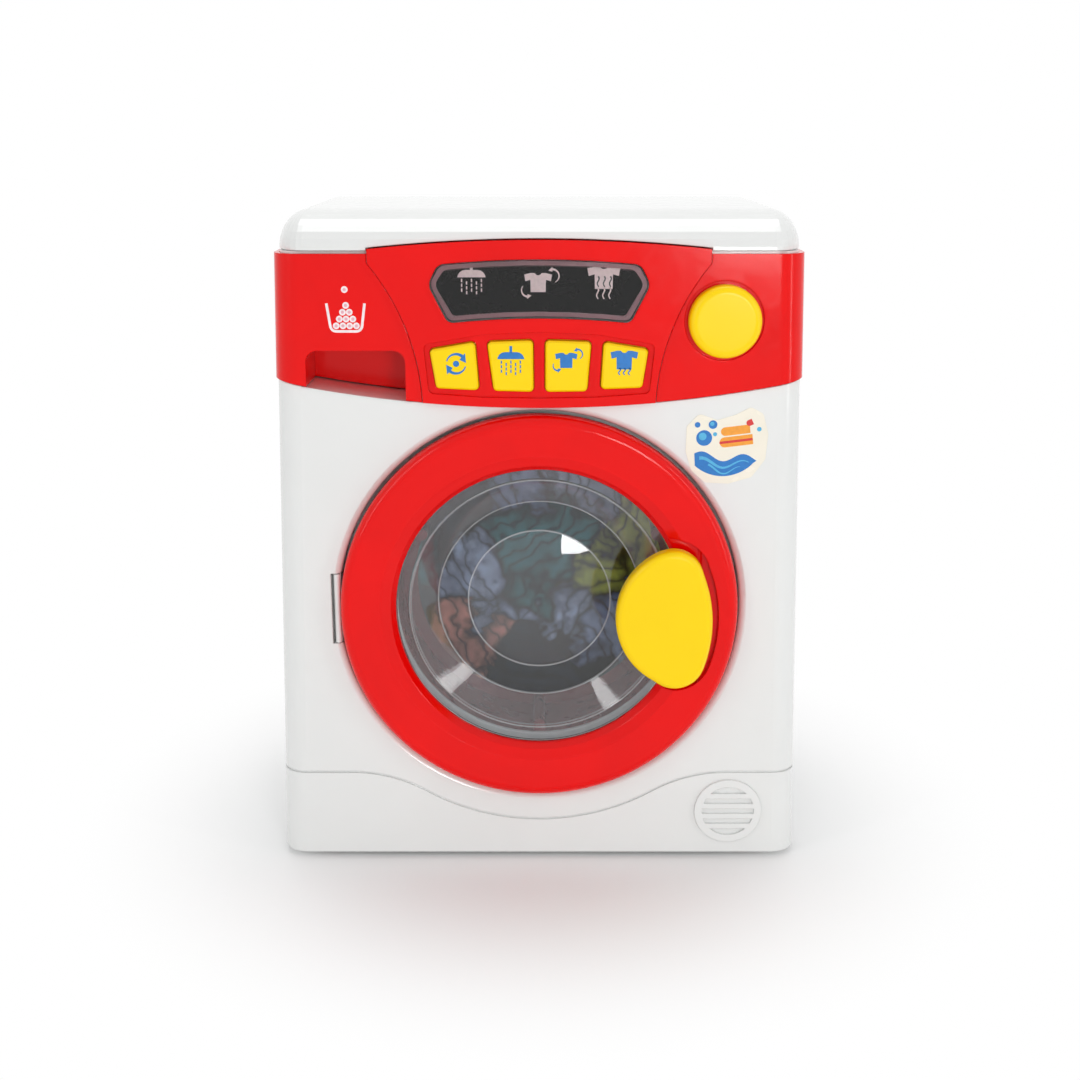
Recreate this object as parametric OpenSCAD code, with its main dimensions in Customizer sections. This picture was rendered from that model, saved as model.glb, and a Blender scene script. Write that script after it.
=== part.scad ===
// Toy front-loading washing machine for pretend play, in millimetres.
// Z is up, the door faces -Y, x = 0 is the middle and z = 0 is the floor.
// "Proud" sizes are measured outwards from the cabinet's front face, so a negative one is inside.

/* [Cabinet] */
// Width at the floor, where the drafted sides are widest
cabinet_w = 214.8; // [205:0.1:230]
// Depth from the front face to the rear face
cabinet_depth = 133; // [126:0.5:160]
// Height of the side walls above the floor
cabinet_top = 250.9; // [249:0.1:252]
// Lean of each side wall
side_draft = 1.58; // [0.5:0.01:2.2]
// Radius of the upright corners
corner_r = 10; // [6:0.5:14]
// Wall of the casings
wall = 2.5; // [2:0.1:3]
// Depth of the front casing, from the front face to the joint line
front_casing_depth = 40; // [36:0.5:44]
// Height of the feet below the casings
foot_h = 2.3; // [1.5:0.1:5]
// Radius of a foot
foot_r = 7; // [5:0.5:8]

/* [Lid] */
// Height of the lid's lower edge
lid_z = 251.2; // [250.9:0.1:253]
// Height of the lid
lid_h = 14.2; // [11:0.1:18]
// Depth of the rounding along its front edge
lid_front_round = 27; // [15:0.5:35]
// Width of the rounding along its sides
lid_side_round = 12; // [8:0.5:16]
// Depth of the rounding along its rear edge
lid_back_round = 10; // [6:0.5:16]
// Wall of the lid
lid_wall = 2.2; // [1.8:0.1:3]

/* [Red control band] */
// How far the wings stand proud of the cabinet
band_proud = 0.9; // [0.5:0.1:1.6]
// Depth of the rebate that the band sits in
band_rebate = 1.4; // [1:0.1:1.6]
// Height of the wings' top edge
band_top = 250; // [248:0.1:250.8]
// Height of the band's lower edge in the middle
band_bottom = 191.6; // [190:0.1:193]
// Radius of the lower edge's curve
band_curve_r = 505; // [450:5:600]
// How far the wings wrap round the sides
band_wrap = 24; // [18:0.5:30]
// How far the middle fascia stands proud of the cabinet
fascia_proud = 2.4; // [1.8:0.1:3]
// Width of the fascia at its top
fascia_top_w = 129.6; // [126:0.2:134]
// Height of the fascia's top edge in the middle
fascia_top = 255.2; // [254:0.1:256]
// Radius of the fascia's top curve
fascia_top_r = 628; // [550:5:700]
// Gap between the fascia and the wings
seam_gap = 0.35; // [0.2:0.05:0.6]

/* [Display] */
// Greatest width of the display window
display_w = 82.6; // [78:0.2:84]
// Width of the display window at its foot
display_foot_w = 66; // [60:0.2:70]
// Height of the window's top edge in the middle
display_top = 247.9; // [246.5:0.1:248.5]
// Height of the window's lower edge in the middle
display_bottom = 226.1; // [225:0.1:228]
// How far the lens stands proud of the fascia
lens_proud = 0.5; // [0.2:0.1:1]
// Width of the lens's clear rim
lens_rim = 2.3; // [1.5:0.1:3]

/* [Buttons] */
// Height of the buttons' middle
button_z = 207.8; // [207:0.1:209]
// How far the buttons stand proud of the fascia
button_proud = 1.2; // [0.8:0.1:2]
// Travel of a button
button_travel = 1.6; // [1:0.1:1.8]
// Depth of the pocket that they stand in
pocket_depth = 1.5; // [1:0.1:1.8]
// Clearance round a button
button_gap = 0.35; // [0.25:0.05:0.5]

/* [Knob] */
// Distance between the middle fascia's edge and the knob
knob_margin = 4.96; // [3:0.1:7]
// Height of the knob's axis
knob_z = 224.9; // [222:0.1:227]
// Radius of the knob
knob_r = 13.8; // [12:0.1:15]
// How far the knob stands proud of the cabinet
knob_proud = 7.2; // [5:0.1:9]
// Radius of the knob's spindle
spindle_r = 3; // [2.5:0.1:4]

/* [Detergent drawer] */
// Distance of the finger recess from the cabinet's side
grip_inset = 11.9; // [10:0.1:15]
// Right side of the finger recess
grip_right = -51.4; // [-54:0.1:-50.6]
// Height of the finger recess's top
grip_top = 213.4; // [211:0.1:215]
// Depth of the finger recess
grip_depth = 25; // [20:0.5:30]
// Depth of the tray
tray_depth = 46; // [40:0.5:50]
// Height of the tray
tray_h = 24; // [18:0.5:26]
// Travel of the drawer
drawer_travel = 38; // [20:1:40]
// Sliding clearance of the drawer
drawer_gap = 0.35; // [0.25:0.05:0.5]

/* [Door] */
// Height of the door's middle
door_z = 109.5; // [108:0.1:111]
// Outer radius of the door
ring_r = 79.3; // [78:0.1:80]
// Radius of the window opening
ring_in_r = 57.4; // [56:0.1:58.5]
// How far the ring stands proud of the cabinet
ring_proud = 6; // [5.5:0.1:7]
// Radius of the ring's outer lip
lip_r = 4; // [3:0.1:4.5]
// Wall of the door mouldings
door_wall = 2; // [1.6:0.1:2.2]
// Gap round the door
door_gap = 1; // [0.6:0.1:1.4]
// Rounding of the cabinet round the door
rim_r = 3.5; // [2.5:0.1:4]
// Depth of the recess behind the door
recess_depth = 10; // [9.8:0.1:12]
// Depth of the window's bowl
bowl_depth = 13; // [10:0.5:13.5]
// Wall of the window
bowl_wall = 1.5; // [1.2:0.1:2]

/* [Door hinge and latch] */
// Distance of the hinge pin from the middle, to the left
hinge_x = 80.9; // [80.8:0.1:81.6]
// Depth of the hinge pin behind the front face
hinge_in = 1.3; // [1.1:0.1:1.4]
// Radius of the hinge pin
hinge_pin_r = 0.65; // [0.5:0.05:0.7]
// Half the length of the hinge barrel
barrel_half = 14.3; // [12:0.1:15]
// How far the handle stands proud of the cabinet
handle_proud = 13; // [12:0.1:15]
// Thickness of the handle's grip
handle_t = 6.5; // [6:0.1:6.6]
// Gap between the handle and its pocket in the ring
handle_gap = 3; // [2.4:0.1:3.2]
// Distance of the handle's pin from the middle
pivot_x = 63.5; // [63:0.1:64]
// How far the handle's pin stands proud of the cabinet
pivot_proud = 3.5; // [3.4:0.1:3.6]
// Radius of the handle's pin
pivot_pin_r = 1.2; // [0.9:0.05:1.3]

/* [Drum and drive] */
// Inner radius of the drum
drum_r = 57.7; // [56:0.1:58.5]
// Wall of the drum
drum_wall = 1.5; // [1.2:0.1:1.8]
// Depth of the drum's floor behind the front face
drum_floor_in = 42.5; // [40:0.5:45]
// Radius of the drum's shaft
shaft_r = 2; // [1.6:0.1:2.5]
// Teeth on the drum gear
drum_teeth = 40; // [36:2:44]
// Teeth on the idler's large gear
idler_teeth = 30; // [26:2:34]
// Teeth on the two small gears
pinion_teeth = 10; // [10:2:12]
// Gear module
gear_m = 1; // [0.9:0.05:1.1]
// Width of the gears
gear_w = 4; // [3:0.5:4]

/* [Battery bay] */
// Length of a cell
cell_l = 50; // [48:0.5:51]
// Radius of a cell
cell_r = 7.1; // [6.5:0.1:7.3]
// Height of the lowest cell
cell_z = 41; // [38:0.5:46]
// Number of cells
cells = 3; // [2:1:3]

/* [Hidden] */
$fn = 96;

// The handle stands furthest forwards, so the cabinet lies back by half its reach.
front_y = -(cabinet_depth - handle_proud) / 2;
back_y = front_y + cabinet_depth;
joint_y = front_y + front_casing_depth;
eps = 0.02;
far = 400;

// Finishes
white = [0.90, 0.91, 0.905];
red = [0.86, 0.01, 0.01];
yellow = [1.0, 0.82, 0.0];
steel = [0.70, 0.71, 0.73];

// Half the cabinet's width at a height
function half_w(z) = cabinet_w / 2 - z * tan(side_draft);

// Height of the band's lower edge at a distance from the middle
function band_edge(x) = band_bottom + band_curve_r - sqrt(band_curve_r * band_curve_r - x * x);

// Height of the fascia's top edge at a distance from the middle
function fascia_edge(x) = fascia_top - fascia_top_r + sqrt(fascia_top_r * fascia_top_r - x * x);

// Points of an arc, for an outline's round stretch
function arc(c, r, a0, a1, n = 8) = [for (i = [0:n]) c + r * [cos(a0 + (a1 - a0) * i / n), sin(a0 + (a1 - a0) * i / n)]];

// One corner of an outline, rounded to radius r between its neighbours
function corner_arc(before, at, after, r, n = 6) =
    let (
        u = (before - at) / norm(before - at),
        v = (after - at) / norm(after - at),
        half = acos(u * v) / 2,
        middle = at + (u + v) / norm(u + v) * r / sin(half),
        first = at + u * r / tan(half) - middle,
        last = at + v * r / tan(half) - middle,
        a0 = atan2(first[1], first[0]),
        turn = atan2(last[1], last[0]) - a0,
        a1 = a0 + (turn > 180 ? turn - 360 : turn < -180 ? turn + 360 : turn)
    )
    arc(middle, r, a0, a1, n);

// A whole outline with every corner rounded
function rounded(points, r) = [
    for (i = [0:len(points) - 1])
        for (q = corner_arc(points[(i + len(points) - 1) % len(points)], points[i], points[(i + 1) % len(points)], r))
            q
];

// Moves every edge of a clockwise outline outwards; each point carries its corner's radius
function inflated(points, by) = [
    for (i = [0:len(points) - 1])
        let (
            at = [points[i][0], points[i][1]],
            last = points[(i + len(points) - 1) % len(points)],
            next = points[(i + 1) % len(points)],
            u = unit(at - [last[0], last[1]]),
            v = unit([next[0], next[1]] - at),
            n1 = [-u[1], u[0]],
            n2 = [-v[1], v[0]],
            moved = at + (n1 + n2) / (1 + n1 * n2) * by
        )
        [moved[0], moved[1], points[i][2] > 0 ? max(0.1, points[i][2] + by) : 0]
];

function unit(v) = v / norm(v);

// An outline whose points carry their own corner radius, or 0 for a plain point
function rounded_each(points) = [
    for (i = [0:len(points) - 1])
        let (
            at = [points[i][0], points[i][1]],
            last = points[(i + len(points) - 1) % len(points)],
            next = points[(i + 1) % len(points)]
        )
        for (q = points[i][2] > 0 ? corner_arc([last[0], last[1]], at, [next[0], next[1]], points[i][2]) : [at])
            q
];

// Extrudes an x-z outline between two proud distances
module face_slab(from, to) {
    translate([0, front_y - from, 0])
        rotate([90, 0, 0])
            linear_extrude(to - from)
                children();
}

// Extrudes an x-z outline between two depths
module depth_slab(y0, y1) {
    translate([0, y1, 0])
        rotate([90, 0, 0])
            linear_extrude(y1 - y0)
                children();
}

// Turns a profile of radius and proud distance round the door's axis
module about_door() {
    translate([0, front_y, door_z])
        rotate([90, 0, 0])
            rotate_extrude($fn = 128)
                children();
}

// A cylinder along Y between two depths
module y_rod(x, z, r, y0, y1) {
    translate([x, y1, z])
        rotate([90, 0, 0])
            cylinder(r = r, h = y1 - y0);
}

// A box between two corners
module span(low, high) {
    translate(low)
        cube(high - low);
}

// Plan of one side of the cabinet, rounded at its two outer corners
module side_plan(grow) {
    r = corner_r + grow;
    depth = cabinet_depth + 2 * grow;
    translate([-cabinet_w - 60, front_y - grow])
        square([cabinet_w + 60 + grow - r, depth]);
    translate([-cabinet_w - 60, front_y - grow + r])
        square([cabinet_w + 60 + grow, depth - 2 * r]);
    for (y = [front_y - grow + r, back_y + grow - r])
        translate([grow - r, y])
            circle(r);
}

// The cabinet's outline as a solid, grown on its sides, front and back
module cabinet_form(grow) {
    intersection_for (side = [0, 1])
        mirror([side, 0, 0])
            translate([cabinet_w / 2, 0, 0])
                rotate([0, -side_draft, 0])
                    translate([0, 0, -30])
                        linear_extrude(cabinet_top + 70)
                            side_plan(grow);
}

// The cabinet's outline between two depths and two heights
module cabinet_part(grow, y0, y1, z0, z1) {
    intersection() {
        cabinet_form(grow);
        span([-cabinet_w, y0, z0], [cabinet_w, y1, z1]);
    }
}

// Outline of the middle fascia, in x and z
module fascia_outline(grow = 0) {
    difference() {
        intersection() {
            translate([-fascia_top_w / 2 - grow, band_bottom - 20])
                square([fascia_top_w + 2 * grow, 100]);
            translate([0, fascia_top - fascia_top_r])
                circle(fascia_top_r + grow, $fn = 720);
            translate([0, band_bottom + band_curve_r])
                circle(band_curve_r + grow, $fn = 720);
        }
        for (side = [-1, 1])
            translate([side * seam_centre_x, seam_centre_z])
                circle(seam_r - grow, $fn = 240);
    }
}

// The side seams curve round these centres and meet the fascia's upright ends.
seam_r = 89.4;
seam_centre_z = band_bottom - 1.4;
seam_turn = 56.2;
seam_centre_x = fascia_top_w / 2 - 0.2 + sqrt(seam_r * seam_r - seam_turn * seam_turn);

// Half the fascia's width at a height
function seam_x(z) = min(fascia_top_w / 2, seam_centre_x - sqrt(max(0, seam_r * seam_r - pow(z - seam_centre_z, 2))));

// Place of the knob
knob_x = seam_x(knob_z) + knob_margin + knob_r;

// Outline of one wing, in x and z, on the side of x > 0
module wing_outline(low = 0, top = band_top) {
    difference() {
        intersection() {
            translate([0, band_bottom + band_curve_r])
                circle(band_curve_r + low, $fn = 720);
            translate([20, band_bottom - 20])
                square([cabinet_w, top - band_bottom + 20]);
        }
        fascia_outline(seam_gap);
    }
}

// A wing as a shell that wraps round the front corner
module wing_shell(inner) {
    intersection() {
        difference() {
            cabinet_form(band_proud);
            cabinet_form(inner);
        }
        depth_slab(front_y - 10, front_y + band_wrap)
            wing_outline();
    }
}

// The rebate that the whole band sits in
module band_space() {
    difference() {
        intersection() {
            cabinet_form(20);
            depth_slab(front_y - 20, front_y + band_wrap + seam_gap)
                intersection() {
                    translate([0, band_bottom + band_curve_r])
                        circle(band_curve_r + seam_gap, $fn = 720);
                    translate([-cabinet_w, band_bottom - 20])
                        square([2 * cabinet_w, 120]);
                }
        }
        cabinet_form(-band_rebate);
    }
}

// Line of the wavy seam above the skirt: concentric with the door, then flat
skirt_flat = 38.6;
skirt_clear = 12.7;
skirt_blend = 60;
skirt_arc_r = ring_r + skirt_clear;
skirt_blend_z = skirt_flat - skirt_blend;
skirt_blend_x = sqrt(pow(skirt_arc_r + skirt_blend, 2) - pow(door_z - skirt_blend_z, 2));
module skirt_zone(grow) {
    unit = [skirt_blend_x, skirt_blend_z - door_z] / (skirt_arc_r + skirt_blend);
    meet = [0, door_z] + unit * (skirt_arc_r - grow);
    difference() {
        translate([-cabinet_w, -20])
            square([2 * cabinet_w, skirt_flat + grow + 20]);
        translate([0, door_z])
            circle(skirt_arc_r - grow, $fn = 180);
        for (side = [0, 1])
            mirror([side, 0])
                difference() {
                    polygon([meet, [skirt_blend_x, meet[1]], [skirt_blend_x, skirt_flat + 5], [meet[0] - 10, skirt_flat + 5]]);
                    translate([skirt_blend_x, skirt_blend_z])
                        circle(skirt_blend + grow, $fn = 240);
                }
    }
}

// Casing screws, on both sides
screw_x = 94;
screw_zs = [17, 100, 176];
screw_r = 1.5;
screw_head_r = 3;
boss_r = 4;
boss_bore = screw_r + 0.1;
boss_head_y = joint_y + 12;
function screw_at(z) = min(screw_x, half_w(z) - wall - boss_r - 1);

// Lid screws
lid_boss_x = 80;
lid_boss_ys = [front_y + 31, back_y - 16];
lid_shelf_z = cabinet_top - 6;

// Filter grille on the skirt
grille_x = 78.5;
grille_z = 21.3;
grille_r = 14;
grille_rim = 3.2;
grille_rise = 1.1;
grille_pitch = 4.5;

// Door opening
opening_r = ring_r + door_gap;
mouth_r = ring_in_r + 0.2;
recess_wall = 2.5;
rim_break = 0.12;
recess_floor_t = 2;
lug_out = 5.6;
notch_half = barrel_half + 0.4;
barrel_r = 1.25;

// Control opening behind the fascia
bay_half = 43.4;
bay_low = band_bottom + 5.2;
bay_high = display_top - 0.1;

// Drawer
grip_left = grip_inset - half_w(grip_top);
tray_left = grip_left - 1.5;
tray_flange = 1.9;
tray_low = grip_top + 1.6;
tray_right = -(seam_x(tray_low + tray_h) + seam_gap + 0.4 + tray_flange);
tray_wall = 1.4;
guide_wall = 1.6;

module grip_outline(grow) {
    r = 4.6;
    left = grip_left - grow;
    right = grip_right + grow;
    top = grip_top + grow;
    low = band_bottom - 6;
    polygon(concat(
        [[left, low]],
        corner_arc([left, low], [left, top], [right, top], r + grow),
        corner_arc([left, top], [right, top], [right, low], r + grow),
        [[right, low]]
    ));
}

// Floor of the finger recess, just behind the front face
module grip_floor() {
    intersection() {
        cabinet_form(0);
        depth_slab(front_y + 0.1, front_y + grip_depth + 3)
            intersection() {
                translate([grip_left - 2.4, band_bottom - 8])
                    square([grip_right - grip_left + 4.8, 30]);
                translate([0, band_bottom + band_curve_r])
                    difference() {
                        circle(band_curve_r + seam_gap + 2, $fn = 720);
                        circle(band_curve_r + seam_gap + 0.1, $fn = 720);
                    }
            }
    }
}

module front_casing() {
    color(white) {
        front_shell();
        grip_floor();
    }
}

module front_shell() {
    difference() {
        union() {
            difference() {
                cabinet_part(0, front_y - 1, joint_y, foot_h, cabinet_top);
                cabinet_part(-wall, front_y, joint_y + 1, foot_h + wall, cabinet_top + 1);
            }
            casing_lip(front_y + wall, joint_y);
            // Cup behind the door, with a thick block for the hinge
            about_door()
                translate([0, -recess_depth - recess_floor_t])
                    square([opening_r + recess_wall, recess_depth + recess_floor_t - 0.5]);
            span([-hinge_x - 4.6, front_y + 0.5, door_z - barrel_half - lug_out],
                 [-hinge_x + 8, front_y + recess_depth, door_z + barrel_half + lug_out]);
            for (side = [-1, 1])
                for (z = screw_zs)
                    y_rod(side * screw_at(z), z, boss_r, front_y + wall - 0.2, joint_y);
            // Posts that carry the control board
            for (side = [-1, 1])
                for (z = board_screw_zs)
                    y_rod(side * board_screw_x, z, board_post_r, front_y + 1.5, board_y - eps);
            // Grille moulded on the skirt
            face_slab(-0.5, grille_rise)
                grille_shape();
            lid_shelf(lid_boss_ys[0]);
        }
        // Door opening with its rounded edge, which meets the face in a faint line
        about_door() {
            translate([0, -recess_depth])
                square([opening_r, recess_depth + 5]);
            difference() {
                translate([0, rim_break - rim_r])
                    square([opening_r + rim_r, rim_r + 5]);
                translate([opening_r + rim_r, rim_break - rim_r])
                    circle(rim_r);
                translate([opening_r, rim_break - rim_r - 5])
                    square([2 * rim_r, 5]);
            }
        }
        y_rod(0, door_z, mouth_r, front_y - 1, front_y + recess_depth + 5);
        // Hinge notch and bore
        span([-hinge_x - barrel_r - 1.05, front_y - 1, door_z - notch_half],
             [-hinge_x + 10, front_y + door_wall - ring_back + 0.8, door_z + notch_half]);
        translate([-hinge_x, front_y + hinge_in, door_z - barrel_half - lug_out - 1])
            cylinder(r = hinge_pin_r + 0.02, h = 2 * (barrel_half + lug_out + 1));
        // Skirt line, round the front and both sides
        difference() {
            depth_slab(front_y - 1, joint_y + 1)
                difference() {
                    skirt_zone(0.4);
                    skirt_zone(-0.4);
                }
            cabinet_form(-0.7);
        }
        band_space();
        // Openings behind the fascia, the knob and the drawer
        face_slab(-wall - 1, 1)
            translate([-bay_half, bay_low])
                square([2 * bay_half, bay_high - bay_low]);
        y_rod(knob_x, knob_z, knob_r - 2, front_y - 1, front_y + wall + 1);
        face_slab(-wall - 1, 1)
            intersection() {
                grip_outline(2);
                translate([0, band_bottom + band_curve_r])
                    circle(band_curve_r + 1, $fn = 720);
            }
        span([tray_left - 2.4, front_y - 1, grip_top],
             [tray_right + 2.4, front_y + wall + 1, tray_low + tray_h + 1.2]);
        // Pilot holes
        for (side = [-1, 1]) {
            for (z = screw_zs)
                y_rod(side * screw_at(z), z, screw_r + eps, joint_y - 14, joint_y + 1);
            for (z = board_screw_zs)
                y_rod(side * board_screw_x, z, board_screw_r + eps, board_y - 6, board_y + 1);
            translate([side * lid_boss_x, lid_boss_ys[0], lid_shelf_z - 5])
                cylinder(r = boss_bore, h = 10);
            foot_hole(side * foot_x, foot_ys[0]);
        }
        for (a = tub_screw_angles)
            y_rod(tub_screw_x(a), tub_screw_z(a), 1.02, front_y + recess_depth + 0.4, front_y + recess_depth + 5);
        // Room for the lid's rounder front corners
        for (side = [-1, 1])
            translate([side * (half_w(lid_z) - 1), front_y + 5, lid_z + 9.95])
                cube([22, 22, 20], center = true);
    }
}

// Grille of the filter: a raised ring and four bars
module grille_shape() {
    translate([grille_x, grille_z]) {
        difference() {
            circle(grille_r);
            circle(grille_r - grille_rim);
        }
        intersection() {
            circle(grille_r - 1);
            for (i = [-1.5:1:1.5])
                translate([-grille_r, i * grille_pitch - 1.1])
                    square([2 * grille_r, 2.2]);
        }
    }
}

// Lip at the top of the casings, inside the lid
module casing_lip(y0, y1) {
    lip_in = wall + 0.3;
    difference() {
        union() {
            cabinet_part(-wall + 0.2, y0, y1, cabinet_top - 3, cabinet_top);
            cabinet_part(-lip_in, y0, y1, cabinet_top - 3, cabinet_top + 2.2);
        }
        cabinet_part(-lip_in - 1.6, front_y, back_y, cabinet_top - 4, cabinet_top + 4);
        // The display's lens and mask need the front lip's middle
        span([-fascia_top_w / 2, front_y - 1, cabinet_top - 4], [fascia_top_w / 2, front_y + 12, cabinet_top + 4]);
    }
}

// Shelves in the corners that the lid's screws pass through
module lid_shelf(y) {
    for (side = [-1, 1])
        intersection() {
            cabinet_form(-1);
            translate([side * (lid_boss_x + 10), y, lid_shelf_z - 1])
                cube([32, 12, 2], center = true);
        }
}

// Feet
foot_x = 87;
foot_stem_r = 2.9;
foot_ys = [front_y + 12, back_y - 12];
module foot_hole(x, y) {
    translate([x, y, 0])
        cylinder(r = foot_stem_r + 0.1, h = foot_h + wall + 1);
}

module feet() {
    color([0.35, 0.03, 0.03])
    for (x = [-foot_x, foot_x])
        for (y = foot_ys)
            translate([x, y, 0]) {
                cylinder(r1 = foot_r - 0.8, r2 = foot_r, h = foot_h);
                cylinder(r = foot_stem_r, h = foot_h + wall + 0.8);
            }
}

// Battery bay in the rear casing
cell_pitch = 2 * cell_r + 1.4;
bay_wall = 1.6;
cell_y = back_y - 2.8 - cell_r;
battery_half_w = cell_l / 2 + 3.4;
battery_low = cell_z - cell_r - 1.6;
battery_high = cell_z + (cells - 1) * cell_pitch + cell_r + 1.6;
battery_front_y = cell_y - cell_r - 1;
cover_t = 2;

// Speaker behind the rear wall
speaker_z = 172;
speaker_r = 20;

module rear_casing() {
    color(white)
    difference() {
        union() {
            difference() {
                cabinet_part(0, joint_y, back_y + 1, foot_h, cabinet_top);
                cabinet_part(-wall, joint_y - 1, back_y, foot_h + wall, cabinet_top + 1);
            }
            casing_lip(joint_y, back_y - wall);
            for (side = [-1, 1])
                for (z = screw_zs)
                    y_rod(side * screw_at(z), z, boss_r, joint_y, back_y - wall + 0.2);
            span([-battery_half_w - bay_wall, battery_front_y - bay_wall, battery_low - bay_wall],
                 [battery_half_w + bay_wall, back_y - 0.5, battery_high + bay_wall]);
            // Post for the cover's screw
            y_rod(0, battery_high + 7, 3.4, back_y - 16, back_y - 0.5);
            lid_shelf(lid_boss_ys[1]);
        }
        for (side = [-1, 1]) {
            for (z = screw_zs) {
                y_rod(side * screw_at(z), z, boss_bore, joint_y - 1, back_y + 1);
                y_rod(side * screw_at(z), z, screw_head_r + 0.4, boss_head_y, back_y + 1);
            }
            translate([side * lid_boss_x, lid_boss_ys[1], lid_shelf_z - 5])
                cylinder(r = boss_bore, h = 10);
            foot_hole(side * foot_x, foot_ys[1]);
        }
        span([-battery_half_w, battery_front_y, battery_low], [battery_half_w, back_y + 1, battery_high]);
        battery_cover_form(0.3, 1);
        y_rod(0, battery_high + 7, 1.02, back_y - 14, back_y + 1);
        // Sound holes in two rings round one in the middle
        for (ring = [0:2])
            for (i = [0:max(0, ring * 6 - 1)])
                y_rod(ring * 5.5 * cos(i * 60 / max(1, ring)), speaker_z + ring * 5.5 * sin(i * 60 / max(1, ring)),
                      1.3, back_y - wall - 1, back_y + 1);
        // Skirt line along the sides and the back
        difference() {
            cabinet_part(2, joint_y - 1, back_y + 3, skirt_flat - 0.4, skirt_flat + 0.4);
            cabinet_form(-0.7);
        }
    }
}

// The cover, with a tongue above for its screw
module battery_cover_form(grow, behind) {
    translate([0, back_y + behind, 0])
        rotate([90, 0, 0])
            linear_extrude(cover_t + behind) {
                polygon(rounded([
                    [-battery_half_w - 1 - grow, battery_low - 1 - grow],
                    [battery_half_w + 1 + grow, battery_low - 1 - grow],
                    [battery_half_w + 1 + grow, battery_high + 1 + grow],
                    [-battery_half_w - 1 - grow, battery_high + 1 + grow]], 1.5));
                translate([-8 - grow, battery_high])
                    square([16 + 2 * grow, 7]);
                translate([0, battery_high + 7])
                    circle(8 + grow);
            }
}

module battery_cover() {
    color(white)
    difference() {
        battery_cover_form(0, 0);
        y_rod(0, battery_high + 7, 1.2, back_y - 5, back_y + 1);
        y_rod(0, battery_high + 7, 2.4, back_y - 1.1, back_y + 1);
        // Finger ribs, as grooves
        for (i = [0:3])
            span([-12, back_y - 0.5, battery_low + 4 + 3 * i], [12, back_y + 1, battery_low + 5.2 + 3 * i]);
    }
}

module cover_screw() {
    color(steel) {
        y_rod(0, battery_high + 7, 2.2, back_y - 1.1, back_y - 0.2);
        y_rod(0, battery_high + 7, 1, back_y - 11, back_y - 1);
    }
}

module battery_cells() {
    color([0.15, 0.35, 0.2])
    for (i = [0:cells - 1]) {
        way = i % 2 == 0 ? 1 : -1;
        translate([0, cell_y, cell_z + i * cell_pitch])
            rotate([0, way * 90, 0]) {
                translate([0, 0, -cell_l / 2])
                    cylinder(r = cell_r, h = cell_l - 1.2);
                translate([0, 0, cell_l / 2 - 1.4])
                    cylinder(r = 2.7, h = 1.4);
            }
    }
}

module battery_contacts() {
    color(steel)
    for (side = [-1, 1])
        for (i = [0:cells - 1])
            translate([side * (battery_half_w - 0.5), cell_y, cell_z + i * cell_pitch]) {
                cube([0.9, 10, 10], center = true);
                translate([-side * 1.5, 0, 0])
                    rotate([0, 90, 0])
                        cylinder(r = 3.2, h = 2.2, center = true);
            }
}

module casing_screws() {
    color(steel)
    for (side = [-1, 1])
        for (z = screw_zs) {
            y_rod(side * screw_at(z), z, screw_r, joint_y - 12, boss_head_y + 0.1);
            y_rod(side * screw_at(z), z, screw_head_r, boss_head_y, boss_head_y + 2.2);
        }
}

// The lid's full round form, inset for its inside
module lid_form(inset) {
    half = half_w(lid_z) + band_proud * 0.9 - inset;
    rz = lid_h - inset;
    rx = lid_side_round - inset;
    fronts = front_y - band_proud + inset;
    backs = back_y - inset;
    rf = lid_front_round - inset;
    rb = lid_back_round - inset;
    intersection() {
        hull()
            for (side = [-1, 1]) {
                translate([side * (half - rx), fronts + rf, lid_z])
                    scale([rx, rf, rz])
                        sphere(1, $fn = 32);
                translate([side * (half - rx), backs - rb, lid_z])
                    scale([rx, rb, rz])
                        sphere(1, $fn = 32);
            }
        span([-cabinet_w, front_y - 40, lid_z - (inset > 0 ? 1 : 0)], [cabinet_w, back_y + 40, lid_z + 60]);
    }
}

module lid() {
    color(white)
    difference() {
        union() {
            difference() {
                lid_form(0);
                lid_form(lid_wall);
            }
            for (side = [-1, 1])
                for (y = lid_boss_ys)
                    translate([side * lid_boss_x, y, lid_shelf_z + 0.3])
                        cylinder(r = 3.2, h = lid_z + lid_h - lid_wall * 0.8 - lid_shelf_z - 0.3);
        }
        face_slab(-lid_front_round, 20)
            intersection() {
                fascia_outline(0.45);
                translate([-200, band_top])
                    square([400, 30]);
            }
        for (side = [-1, 1])
            for (y = lid_boss_ys)
                translate([side * lid_boss_x, y, lid_shelf_z])
                    cylinder(r = screw_r + eps, h = 12);
    }
}

module lid_screws() {
    color(steel)
    for (side = [-1, 1])
        for (y = lid_boss_ys)
            translate([side * lid_boss_x, y, 0]) {
                translate([0, 0, lid_shelf_z - 4])
                    cylinder(r = screw_head_r, h = 2);
                translate([0, 0, lid_shelf_z - 3])
                    cylinder(r = screw_r, h = 13);
            }
}

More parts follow.
